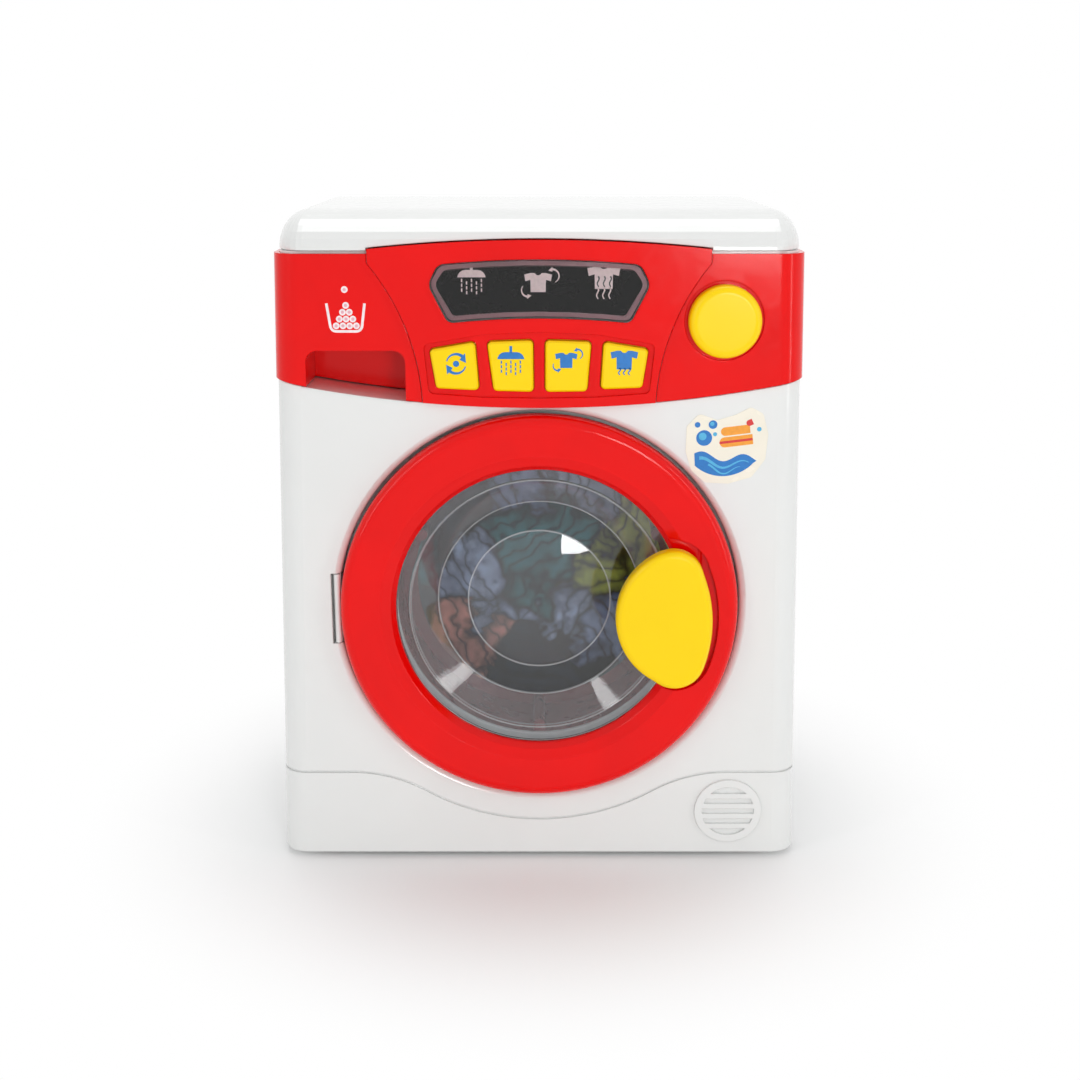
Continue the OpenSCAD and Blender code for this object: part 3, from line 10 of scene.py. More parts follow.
import bmesh
import bpy
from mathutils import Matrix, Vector


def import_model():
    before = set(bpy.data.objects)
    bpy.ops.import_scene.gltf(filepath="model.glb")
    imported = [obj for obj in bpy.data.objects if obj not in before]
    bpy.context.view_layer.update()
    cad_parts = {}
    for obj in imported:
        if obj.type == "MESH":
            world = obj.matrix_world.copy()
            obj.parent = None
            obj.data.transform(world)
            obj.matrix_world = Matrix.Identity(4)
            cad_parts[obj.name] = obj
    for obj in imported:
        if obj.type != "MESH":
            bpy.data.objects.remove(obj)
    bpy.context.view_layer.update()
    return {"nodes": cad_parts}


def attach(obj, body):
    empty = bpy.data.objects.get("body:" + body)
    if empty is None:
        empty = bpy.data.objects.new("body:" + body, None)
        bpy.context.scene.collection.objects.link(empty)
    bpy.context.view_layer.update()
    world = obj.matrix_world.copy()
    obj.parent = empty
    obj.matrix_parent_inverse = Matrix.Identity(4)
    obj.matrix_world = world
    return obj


LOG = logging.getLogger("toy_washer")

Point = tuple[float, float]
Outline = list[Point]
Colour = tuple[float, float, float]

MM = 0.001
# The casing's front face and the middle of the door, in mm
FRONT_Y = -60.0
DOOR_Z = 109.5
# Most values of a noise texture lie between these
NOISE_LOW = 0.3
NOISE_HIGH = 0.7
# Sockets of a Mix node that mixes colours
MIX_FIRST = 6
MIX_SECOND = 7
MIX_RESULT = 2


class Grain(Enum):
    """How a moulded surface is finished in its tool."""

    POLISHED = 0.00001
    SATIN = 0.00003
    SPARK = 0.00008


def rgb(red: int, green: int, blue: int) -> Colour:
    """Linear colour of an 8-bit screen colour.

    Args:
        red: Red, 0 to 255.
        green: Green, 0 to 255.
        blue: Blue, 0 to 255.

    Returns:
        The colour as linear numbers from 0 to 1.
    """

    def linear(value: int) -> float:
        """One channel, linear."""
        part = value / 255
        return part / 12.92 if part <= 0.04045 else ((part + 0.055) / 1.055) ** 2.4

    return linear(red), linear(green), linear(blue)


class NodeGraph:
    """Small helper that adds and links shader nodes of one material."""

    def __init__(self, name: str) -> None:
        """Starts a material with a Principled shader.

        Args:
            name: The material's name.
        """
        self.material = bpy.data.materials.new(name)
        self.material.use_nodes = True
        self.tree = self.material.node_tree
        self.shader = self.tree.nodes["Principled BSDF"]

    @classmethod
    def of(cls, material: bpy.types.Material) -> NodeGraph:
        """Returns a graph that goes on with a material made before."""
        graph = cls.__new__(cls)
        graph.material = material
        graph.tree = material.node_tree
        graph.shader = graph.tree.nodes["Principled BSDF"]
        return graph

    def add(self, kind: str, **values: object) -> bpy.types.Node:
        """Adds a node and sets its properties.

        Args:
            kind: Blender's node type.
            **values: Properties of the node, by name.

        Returns:
            The new node.
        """
        node = self.tree.nodes.new(kind)
        for key, value in values.items():
            setattr(node, key, value)
        return node

    def link(self, source: bpy.types.NodeSocket, target: bpy.types.NodeSocket) -> None:
        """Links one socket to another."""
        self.tree.links.new(source, target)

    def set(self, **values: object) -> None:
        """Sets sockets of the Principled shader, with _ for a space in their names."""
        for key, value in values.items():
            self.shader.inputs[key.replace("_", " ")].default_value = value

    def place(self) -> bpy.types.NodeSocket:
        """Returns the object coordinates, in metres."""
        found = self.tree.nodes.get("Place")
        if found is None:
            found = self.add("ShaderNodeTexCoord", name="Place")
        return found.outputs["Object"]

    def noise(self, scale: float, detail: float = 2.0, distortion: float = 0.0) -> bpy.types.Node:
        """Adds a noise texture in object space.

        Args:
            scale: Features per metre.
            detail: Octaves.
            distortion: Warp.

        Returns:
            The noise node.
        """
        node = self.add("ShaderNodeTexNoise")
        node.inputs["Scale"].default_value = scale
        node.inputs["Detail"].default_value = detail
        node.inputs["Distortion"].default_value = distortion
        self.link(self.place(), node.inputs["Vector"])
        return node

    def ramp(self, source: bpy.types.NodeSocket, stops: list[tuple[float, Colour]],
             steps: bool = False) -> bpy.types.Node:
        """Adds a colour ramp.

        Args:
            source: The factor.
            stops: Positions and colours.
            steps: True for flat steps.

        Returns:
            The ramp node.
        """
        node = self.add("ShaderNodeValToRGB")
        ramp = node.color_ramp
        ramp.interpolation = "CONSTANT" if steps else "LINEAR"
        while len(ramp.elements) < len(stops):
            ramp.elements.new(0.5)
        for element, (position, colour) in zip(ramp.elements, stops):
            element.position = position
            element.color = (*colour, 1.0)
        self.link(source, node.inputs["Fac"])
        return node

    def map_range(self, source: bpy.types.NodeSocket, given: tuple[float, float], wanted: tuple[float, float],
                  curve: str = "LINEAR") -> bpy.types.NodeSocket:
        """Maps a value from one range to another.

        Args:
            source: The value's socket.
            given: The range that it comes in.
            wanted: The range that it leaves in.
            curve: Blender's name for the way between them.

        Returns:
            The result's socket.
        """
        node = self.add("ShaderNodeMapRange", interpolation_type=curve)
        values = {"From Min": given[0], "From Max": given[1], "To Min": wanted[0], "To Max": wanted[1]}
        for name, value in values.items():
            node.inputs[name].default_value = value
        self.link(source, node.inputs["Value"])
        return node.outputs["Result"]

    def between(self, source: bpy.types.NodeSocket, low: float, high: float) -> bpy.types.NodeSocket:
        """Maps a 0 to 1 value to a range and returns the result's socket."""
        return self.map_range(source, (NOISE_LOW, NOISE_HIGH), (low, high))

    def bump(self, height: bpy.types.NodeSocket, distance: float, edge: float = 0.0) -> None:
        """Links a bump, over rounded edges where asked, to the shader's normal.

        Args:
            height: The height's socket.
            distance: Height of the bumps in metres.
            edge: Radius of the rounded edges in metres, or 0 for none.
        """
        node = self.add("ShaderNodeBump")
        node.inputs["Strength"].default_value = 1.0
        node.inputs["Distance"].default_value = distance
        self.link(height, node.inputs["Height"])
        if edge > 0:
            bevel = self.add("ShaderNodeBevel", samples=4)
            bevel.inputs["Radius"].default_value = edge
            self.link(bevel.outputs["Normal"], node.inputs["Normal"])
        self.link(node.outputs["Normal"], self.shader.inputs["Normal"])


@dataclass(frozen=True)
class MouldedPlastic:
    """Injection-moulded plastic: faint orange peel, uneven gloss and a soft broken edge."""

    name: str
    colour: Colour
    roughness: float = 0.17
    coat: float = 0.3
    grain: Grain = Grain.POLISHED
    edge: float = 0.0005
    depth: float = 0.04
    gloss: float = 0.5

    def make(self) -> bpy.types.Material:
        """Returns the material."""
        graph = NodeGraph(self.name)
        graph.set(Coat_Weight=self.coat, Coat_Roughness=0.06, IOR=1.49, Specular_IOR_Level=self.gloss)
        flow = graph.noise(28.0, 3.0, 0.6)
        dark = tuple(c * (1 - self.depth) for c in self.colour)
        light = tuple(min(1.0, c * (1 + self.depth * 0.5)) for c in self.colour)
        tint = graph.ramp(flow.outputs["Fac"], [(NOISE_LOW, dark), (NOISE_HIGH, light)])
        graph.link(tint.outputs["Color"], graph.shader.inputs["Base Color"])
        wipe = graph.noise(160.0, 4.0, 1.2)
        rough = graph.between(wipe.outputs["Fac"], self.roughness - 0.03, self.roughness + 0.05)
        graph.link(rough, graph.shader.inputs["Roughness"])
        peel = graph.noise(900.0, 2.0)
        graph.bump(peel.outputs["Fac"], self.grain.value, self.edge)
        return graph.material


@dataclass(frozen=True)
class ClearPlastic:
    """Clear styrene with a faint tint, fine rub marks and a painted sheen that whitens it at grazing angles.
    """

    name: str
    tint: Colour
    roughness: float = 0.03
    gloss: float = 0.35
    # Amount of painted sheen: how far the plastic turns white where it is seen at a grazing angle
    mottle_and_sheen: float = 0.6

    def make(self) -> bpy.types.Material:
        """Returns the material."""
        graph = NodeGraph(self.name)
        graph.set(Transmission_Weight=1.0, IOR=1.45, Specular_IOR_Level=self.gloss)
        graph.shader.inputs["Base Color"].default_value = (*self.tint, 1.0)
        rub = graph.noise(420.0, 3.0, 2.0)
        rough = graph.between(rub.outputs["Fac"], self.roughness * 0.5, self.roughness * 1.6)
        graph.link(rough, graph.shader.inputs["Roughness"])
        # Painted sheen: at grazing angles part of the transmission gives way to the white base colour,
        # standing in for the glint on steep walls and step edges
        facing = graph.add("ShaderNodeLayerWeight")
        facing.inputs["Blend"].default_value = 0.5
        steep = (0.55, 1.0)
        grazing_sheen = graph.map_range(facing.outputs["Facing"], steep, (1.0, 1.0 - self.mottle_and_sheen), "SMOOTHSTEP")
        graph.link(grazing_sheen, graph.shader.inputs["Transmission Weight"])
        wave = graph.noise(40.0, 0.0)
        graph.bump(wave.outputs["Fac"], 0.00001)
        return graph.material


@dataclass(frozen=True)
class BackRingPlastic(MouldedPlastic):
    """The door's back ring: dark, with its hinge barrel in the casing's colour."""

    barrel: Colour = (0.78, 0.79, 0.78)
    barrel_x: float = -0.0794

    def make(self) -> bpy.types.Material:
        """Returns the material."""
        material = super().make()
        graph = NodeGraph.of(material)
        base = graph.shader.inputs["Base Color"]
        apart = graph.add("ShaderNodeSeparateXYZ")
        graph.link(graph.place(), apart.inputs["Vector"])
        beyond = graph.add("ShaderNodeMath", operation="LESS_THAN")
        beyond.inputs[1].default_value = self.barrel_x
        graph.link(apart.outputs["X"], beyond.inputs[0])
        both = graph.add("ShaderNodeMix", data_type="RGBA")
        graph.link(beyond.outputs[0], both.inputs["Factor"])
        graph.link(base.links[0].from_socket, both.inputs[MIX_FIRST])
        both.inputs[MIX_SECOND].default_value = (*self.barrel, 1.0)
        graph.link(both.outputs[MIX_RESULT], base)
        return material


@dataclass(frozen=True)
class BowlPlastic(ClearPlastic):
    """The bowl's clear plastic: each tread takes a painted haze that stands in for the reflection of the pale
    surroundings, and a painted bright line marks the glint on each step's edge.
    """

    middle: tuple[float, float, float] = (0.0, 0.0, DOOR_Z * MM)
    ramp_end: float = 64.0
    # Radius in mm where each band begins, and its painted whitening: the thin 0.3 bands are painted glints on
    # the step edges, the other bands a lighter painted reflection haze on the treads
    painted_haze_and_glints: tuple[tuple[float, float], ...] = (
        (0.0, 0.03), (28.6, 0.3), (29.2, 0.0), (40.8, 0.3), (41.4, 0.07), (51.8, 0.3), (52.4, 0.05),
    )

    def make(self) -> bpy.types.Material:
        """Returns the material."""
        material = super().make()
        graph = NodeGraph.of(material)
        apart = graph.add("ShaderNodeVectorMath", operation="SUBTRACT")
        graph.link(graph.place(), apart.inputs[0])
        apart.inputs[1].default_value = self.middle
        flat = graph.add("ShaderNodeVectorMath", operation="MULTIPLY")
        graph.link(apart.outputs["Vector"], flat.inputs[0])
        scale = 1.0 / (self.ramp_end * MM)
        flat.inputs[1].default_value = (scale, 0.0, scale)
        reach = graph.add("ShaderNodeVectorMath", operation="LENGTH")
        graph.link(flat.outputs["Vector"], reach.inputs[0])
        stops = [(radius / self.ramp_end, (mottle_and_sheen, mottle_and_sheen, mottle_and_sheen)) for radius, mottle_and_sheen in self.painted_haze_and_glints]
        painted_zone = graph.ramp(reach.outputs["Value"], stops, steps=True)
        clear = graph.add("ShaderNodeMath", operation="SUBTRACT", use_clamp=True)
        graph.link(graph.shader.inputs["Transmission Weight"].links[0].from_socket, clear.inputs[0])
        graph.link(painted_zone.outputs["Color"], clear.inputs[1])
        graph.link(clear.outputs[0], graph.shader.inputs["Transmission Weight"])
        return material


@dataclass(frozen=True)
class TurnedMetal:
    """Steel or brass with fine turning marks."""

    name: str
    colour: Colour
    roughness: float = 0.3

    def make(self) -> bpy.types.Material:
        """Returns the material."""
        graph = NodeGraph(self.name)
        graph.set(Metallic=1.0)
        mottle_and_sheen = graph.noise(500.0, 3.0)
        dark = tuple(c * 0.8 for c in self.colour)
        tint = graph.ramp(mottle_and_sheen.outputs["Fac"], [(NOISE_LOW, dark), (NOISE_HIGH, self.colour)])
        graph.link(tint.outputs["Color"], graph.shader.inputs["Base Color"])
        marks = graph.noise(2600.0, 2.0)
        graph.link(graph.between(marks.outputs["Fac"], self.roughness - 0.08, self.roughness + 0.1),
                   graph.shader.inputs["Roughness"])
        graph.bump(marks.outputs["Fac"], 0.00002, 0.0002)
        return graph.material


@dataclass(frozen=True)
class PrintInk:
    """Opaque pad-printed ink with a slightly uneven coat."""

    name: str
    colour: Colour
    roughness: float = 0.35

    def make(self) -> bpy.types.Material:
        """Returns the material."""
        graph = NodeGraph(self.name)
        graph.set(Coat_Weight=0.15)
        cover = graph.noise(700.0, 3.0)
        thin = tuple(c * 0.88 for c in self.colour)
        tint = graph.ramp(cover.outputs["Fac"], [(0.25, thin), (0.6, self.colour)])
        graph.link(tint.outputs["Color"], graph.shader.inputs["Base Color"])
        graph.link(graph.between(cover.outputs["Fac"], self.roughness - 0.05, self.roughness + 0.08),
                   graph.shader.inputs["Roughness"])
        graph.bump(cover.outputs["Fac"], 0.00001)
        return graph.material


@dataclass(frozen=True)
class LaundryPicture:
    """The printed card: crumpled cloths of a few muted colours, as a generic pattern."""

    name: str = "laundry_picture"
    cloths: tuple[Colour, ...] = (
        rgb(44, 50, 62), rgb(168, 178, 74), rgb(118, 136, 176), rgb(26, 36, 50), rgb(196, 134, 122),
        rgb(40, 104, 112), rgb(90, 84, 88), rgb(150, 162, 76), rgb(150, 166, 200), rgb(34, 40, 48),
    )
    cloths_per_metre: float = 30.0

    def make(self) -> bpy.types.Material:
        """Returns the material."""
        graph = NodeGraph(self.name)
        warp = graph.noise(46.0, 4.0)
        place = self.blend(graph, "MIX", 0.03, graph.place(), warp.outputs["Color"])
        heap = graph.add("ShaderNodeTexVoronoi", feature="F1")
        heap.inputs["Scale"].default_value = self.cloths_per_metre
        graph.link(place, heap.inputs["Vector"])
        split = graph.add("ShaderNodeSeparateColor")
        graph.link(heap.outputs["Color"], split.inputs["Color"])
        count = len(self.cloths)
        colours = [(i / count, colour) for i, colour in enumerate(self.cloths)]
        cloth = graph.ramp(split.outputs["Red"], colours, steps=True)
        turned = graph.add("ShaderNodeVectorRotate", rotation_type="Y_AXIS")
        graph.link(graph.place(), turned.inputs["Vector"])
        graph.link(graph.between(split.outputs["Green"], -3.1, 3.1), turned.inputs["Angle"])
        folds = graph.add("ShaderNodeTexWave", wave_type="BANDS", bands_direction="X")
        for name, value in (("Scale", 52.0), ("Distortion", 11.0), ("Detail", 2.5), ("Detail Scale", 1.4)):
            folds.inputs[name].default_value = value
        graph.link(turned.outputs["Vector"], folds.inputs["Vector"])
        tones = [(0.0, (0.30, 0.30, 0.32)), (0.2, (0.85, 0.85, 0.85)), (0.9, (1.2, 1.2, 1.16))]
        crease = graph.ramp(folds.outputs["Fac"], tones)
        shade = self.blend(graph, "MULTIPLY", 1.0, cloth.outputs["Color"], crease.outputs["Color"])
        soft = graph.noise(60.0, 2.0)
        patches = graph.ramp(soft.outputs["Fac"], [(0.35, (0.55, 0.55, 0.58)), (0.6, (1.1, 1.1, 1.08))])
        shade = self.blend(graph, "MULTIPLY", 1.0, shade, patches.outputs["Color"])
        gap = graph.add("ShaderNodeTexVoronoi", feature="DISTANCE_TO_EDGE")
        gap.inputs["Scale"].default_value = self.cloths_per_metre
        graph.link(place, gap.inputs["Vector"])
        under = graph.ramp(gap.outputs["Distance"], [(0.0, (0.08, 0.08, 0.10)), (0.10, (1.0, 1.0, 1.0))])
        shade = self.blend(graph, "MULTIPLY", 1.0, shade, under.outputs["Color"])
        graph.link(shade, graph.shader.inputs["Base Color"])
        graph.set(Roughness=0.4, Coat_Weight=0.1)
        graph.bump(folds.outputs["Fac"], 0.00003)
        return graph.material

    def blend(self, graph: NodeGraph, way: str, amount: float, first: bpy.types.NodeSocket,
              second: bpy.types.NodeSocket) -> bpy.types.NodeSocket:
        """Mixes two colours or vectors.

        Args:
            graph: The material's graph.
            way: Blender's blend type.
            amount: How much of the second.
            first: The first socket.
            second: The second socket.

        Returns:
            The result's socket.
        """
        node = graph.add("ShaderNodeMix", data_type="RGBA", blend_type=way)
        node.inputs["Factor"].default_value = amount
        graph.link(first, node.inputs[MIX_FIRST])
        graph.link(second, node.inputs[MIX_SECOND])
        return node.outputs[MIX_RESULT]


@dataclass
class Finishes:
    """All of the toy's finishes, made once and handed out by name."""

    made: dict[str, bpy.types.Material] = field(default_factory=dict)

    def build(self) -> None:
        """Makes every material."""
        recipes = (
            MouldedPlastic("white_moulding", (0.80, 0.81, 0.80), roughness=0.2, coat=0.35, edge=0.0006,
                           depth=0.012),
            MouldedPlastic("red_moulding", rgb(236, 2, 2), roughness=0.12, coat=0.0, edge=0.0006, depth=0.05,
                           gloss=0.24),
            MouldedPlastic("yellow_moulding", rgb(255, 216, 0), roughness=0.22, coat=0.0, depth=0.02,
                           gloss=0.26),
            MouldedPlastic("foot_rubber", rgb(96, 20, 24), roughness=0.6, coat=0.0, grain=Grain.SPARK,
                           edge=0.0004),
            MouldedPlastic("mask_black", rgb(18, 18, 22), roughness=0.25),
            MouldedPlastic("drum_maroon", rgb(120, 16, 26), roughness=0.28, coat=0.2, grain=Grain.SATIN),
            MouldedPlastic("grey_moulding", rgb(205, 208, 210), roughness=0.4, coat=0.0, grain=Grain.SATIN),
            BackRingPlastic("hinge_moulding", rgb(46, 14, 16), roughness=0.42, coat=0.0, grain=Grain.SPARK,
                            edge=0.0003),
            MouldedPlastic("black_moulding", rgb(38, 38, 42), roughness=0.42, coat=0.0, grain=Grain.SPARK,
                           edge=0.0003),
            MouldedPlastic("gear_nylon", rgb(236, 232, 214), roughness=0.45, coat=0.0, grain=Grain.SATIN,
                           edge=0.0002),
            MouldedPlastic("board_green", rgb(20, 96, 52), roughness=0.3, grain=Grain.SATIN, edge=0.0002,
                           depth=0.15),
            MouldedPlastic("pad_rubber", rgb(214, 214, 210), roughness=0.6, coat=0.0, grain=Grain.SPARK,
                           edge=0.0003),
            MouldedPlastic("label_film", rgb(243, 237, 221), roughness=0.24, edge=0.0001),
            MouldedPlastic("cell_wrap", rgb(54, 120, 78), roughness=0.3, coat=0.2, grain=Grain.SATIN),
            BowlPlastic("window_clear", (0.86, 0.88, 0.90), roughness=0.015, gloss=0.2, mottle_and_sheen=0.45),
            ClearPlastic("lens_clear", (0.92, 0.89, 0.90), roughness=0.04, gloss=0.2),
            # Pinkish grey of the lens rim: the red seen through the clear rim, lightened by a painted
            # highlight
            MouldedPlastic("rim_pink_and_painted_highlight", rgb(150, 100, 108), roughness=0.3, coat=0.4, grain=Grain.SATIN,
                           edge=0.0002, depth=0.3),
            TurnedMetal("steel", (0.62, 0.62, 0.63)),
            TurnedMetal("brass", (0.75, 0.56, 0.26)),
            PrintInk("ink_blue", rgb(0, 116, 196)),
            PrintInk("ink_white", rgb(250, 236, 238)),
            PrintInk("ink_pale", rgb(244, 224, 224)),
            PrintInk("ink_pink", rgb(236, 176, 188)),
            PrintInk("ink_sky", rgb(74, 178, 222)),
            PrintInk("ink_orange", rgb(244, 158, 30)),
            PrintInk("ink_red", rgb(214, 34, 34)),
            PrintInk("ink_dark", rgb(40, 40, 44)),
            LaundryPicture(),
        )
        for recipe in recipes:
            self.made[recipe.name] = recipe.make()

    def coat(self, piece: bpy.types.Object, name: str) -> None:
        """Gives a piece one finish.

        Args:
            piece: The object.
            name: The finish's name.
        """
        piece.data.materials.clear()
        piece.data.materials.append(self.made[name])


def ring_of(centre: Point, radius: float, count: int = 24, start: float = 0.0) -> Outline:
    """A circle's outline, anticlockwise.

    Args:
        centre: Its middle, in mm.
        radius: Its radius.
        count: Number of points.
        start: First angle in degrees.

    Returns:
        The points.
    """
    turn = [math.radians(start + 360 * i / count) for i in range(count)]
    return [(centre[0] + radius * math.cos(a), centre[1] + radius * math.sin(a)) for a in turn]


def bow(centre: Point, radius: float, first: float, last: float, count: int = 16) -> Outline:
    """Points of an arc from one angle to another, in degrees."""
    turn = [math.radians(first + (last - first) * i / count) for i in range(count + 1)]
    return [(centre[0] + radius * math.cos(a), centre[1] + radius * math.sin(a)) for a in turn]


def stroke(path: Outline, width: float, end_width: float | None = None) -> Outline:
    """Outline of a pen stroke along a path.

    Args:
        path: The path's points.
        width: Width at its start.
        end_width: Width at its end, or None for the same.

    Returns:
        The stroke's outline.
    """
    last = width if end_width is None else end_width
    left: Outline = []
    right: Outline = []
    for i, (x, z) in enumerate(path):
        ax, az = path[max(0, i - 1)]
        bx, bz = path[min(len(path) - 1, i + 1)]
        length = math.hypot(bx - ax, bz - az) or 1.0
        half = (width + (last - width) * i / (len(path) - 1)) / 2
        nx, nz = -(bz - az) / length * half, (bx - ax) / length * half
        left.append((x + nx, z + nz))
        right.append((x - nx, z - nz))
    return left + right[::-1]


def corner_round(first: Vector, corner: Vector, last: Vector, steps: int) -> Outline:
    """Points of the curve that cuts a corner.

    Args:
        first: Where the curve leaves the first edge.
        corner: The corner.
        last: Where the curve meets the second edge.
        steps: Stretches in the curve.

    Returns:
        The points, both ends among them.
    """
    path: Outline = []
    for k in range(steps + 1):
        t = k / steps
        point = first * (1 - t) ** 2 + corner * 2 * t * (1 - t) + last * t ** 2
        path.append((point.x, point.y))
    return path


def rounded(points: Outline, radius: float, steps: int = 6) -> Outline:
    """Rounds the inner corners of an open path.

    Args:
        points: The path's corners.
        radius: How far from each corner its round begins.
        steps: Stretches in each round.

    Returns:
        The smoother path.
    """
    path = [points[0]]
    for before, here, after in zip(points, points[1:], points[2:]):
        spot = Vector(here)
        first = spot + (Vector(before) - spot).normalized() * radius
        last = spot + (Vector(after) - spot).normalized() * radius
        path += corner_round(first, spot, last, steps)
    return path + [points[-1]]


def arrow_bow(centre: Point, radius: float, first: float, last: float, width: float,
              head: float) -> list[Outline]:
    """A curved arrow: its tapered shaft and its head, which points along the arc.

    Args:
        centre: The arc's middle.
        radius: The arc's radius.
        first: The tail's angle in degrees.
        last: The angle where the head begins.
        width: Width of the shaft at the head.
        head: Half of the head's width.

    Returns:
        Two outlines.
    """
    way = 1 if last > first else -1
    head_length = 1.7 * head
    tip_radius = 1.03 * radius
    tail_width = 0.35 * width
    tip_angle = last + way * math.degrees(head_length / radius)
    point = [
        bow(centre, radius + head, last, last, 1)[0],
        bow(centre, tip_radius, tip_angle, tip_angle, 1)[0],
        bow(centre, radius - head, last, last, 1)[0],
    ]
    return [stroke(bow(centre, radius, first, last), tail_width, width), point]


def lay_mesh(work: bmesh.types.BMesh, name: str, finishes: Finishes, finish: str) -> bpy.types.Object:
    """Turns a work mesh into a coated object of the scene, and frees it.

    Args:
        work: The work mesh.
        name: The piece's name.
        finishes: The finishes to take its coat from.
        finish: The coat's name.

    Returns:
        The new piece.
    """
    bmesh.ops.recalc_face_normals(work, faces=work.faces)
    mesh = bpy.data.meshes.new(name)
    work.to_mesh(mesh)
    work.free()
    piece = bpy.data.objects.new(name, mesh)
    bpy.context.scene.collection.objects.link(piece)
    finishes.coat(piece, finish)
    return piece


@dataclass
class FlatPrint:
    """A thin printed sign on a face that looks forwards."""

    name: str
    outlines: list[Outline]
    proud: float
    body: str
    finish: str
    slot: str
    thickness: float = 0.05

    def build(self, finishes: Finishes) -> bpy.types.Object:
        """Makes the sign's mesh and puts it on its body.

        Args:
            finishes: The finishes to take its ink from.

        Returns:
            The new piece.
        """
        work = bmesh.new()
        for outline in self.outlines:
            corners = [work.verts.new((x * MM, (FRONT_Y - self.proud) * MM, z * MM)) for x, z in outline]
            face = work.faces.new(corners)
            grown = bmesh.ops.extrude_face_region(work, geom=[face])
            for item in grown["geom"]:
                if isinstance(item, bmesh.types.BMVert):
                    item.co.y -= self.thickness * MM
        piece = lay_mesh(work, self.name, finishes, self.finish)
        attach(piece, self.body)
        LOG.info("printed %s on %s", self.name, self.body)
        return piece


@dataclass
class SignArt:
    """The toy's pictograms, drawn for a unit size and placed where they are printed."""

    def shirt(self, at: Point, size: float) -> list[Outline]:
        """A short-sleeved shirt.

        Args:
            at: The middle of its shoulders.
            size: Its width over the sleeves.

        Returns:
            Its outline.
        """
        half = [(0.13, 0.0), (0.27, 0.0), (0.5, -0.055), (0.46, -0.29), (0.28, -0.24), (0.27, -0.68)]
        right = [(at[0] + x * size, at[1] + z * size) for x, z in half]
        left = [(at[0] - x * size, at[1] + z * size) for x, z in reversed(half)]
        neck = bow((at[0], at[1] + 0.05 * size), 0.13 * size, 205, 335, 8)
        return [right + left + neck]

    def shower(self, at: Point, size: float, neck: float, drop: float) -> list[Outline]:
        """A shower head with five columns of drops.

        Args:
            at: The middle of the head's lower edge.
            size: Its width.
            neck: Height of the pipe's end above that edge.
            drop: Length of a drop.

        Returns:
            Its outlines.
        """
        x, z = at
        side = [(0.5, 0.0), (0.48, 0.08), (0.42, 0.17), (0.33, 0.235), (0.22, 0.26)]
        dome = [(x + a * size, z + b * size) for a, b in side]
        dome += [(x - a * size, z + b * size) for a, b in side[::-1]]
        pipe = [(x - size * 0.05, z + size * 0.25), (x + size * 0.05, z + size * 0.25),
                (x + size * 0.05, z + neck), (x - size * 0.05, z + neck)]
        made = [dome, pipe]
        half = 0.25
        for column in range(5):
            across = x + (column - 2) * size * 0.175
            top = z - 0.55 - (drop * 0.75 if column % 2 else 0.0)
            for row in range(3):
                high = top - row * drop * 1.45
                made.append([(across - half, high - drop), (across + half, high - drop),
                             (across + half, high), (across - half, high)])
        return made

    def heat(self, at: Point, size: float, length: float, count: int = 3) -> list[Outline]:
        """Rising wavy lines.

        Args:
            at: The middle of their top ends.
            size: Distance from the first to the last.
            length: Their length.
            count: How many.

        Returns:
            Their outlines.
        """
        made: list[Outline] = []
        for i in range(count):
            x = at[0] + (i / (count - 1) - 0.5) * size
            steps = [k / 12 for k in range(13)]
            path = [(x + 0.35 * math.sin(t * math.tau * 1.1), at[1] - length * t) for t in steps]
            made.append(stroke(path, 0.6, 0.4))
        return made


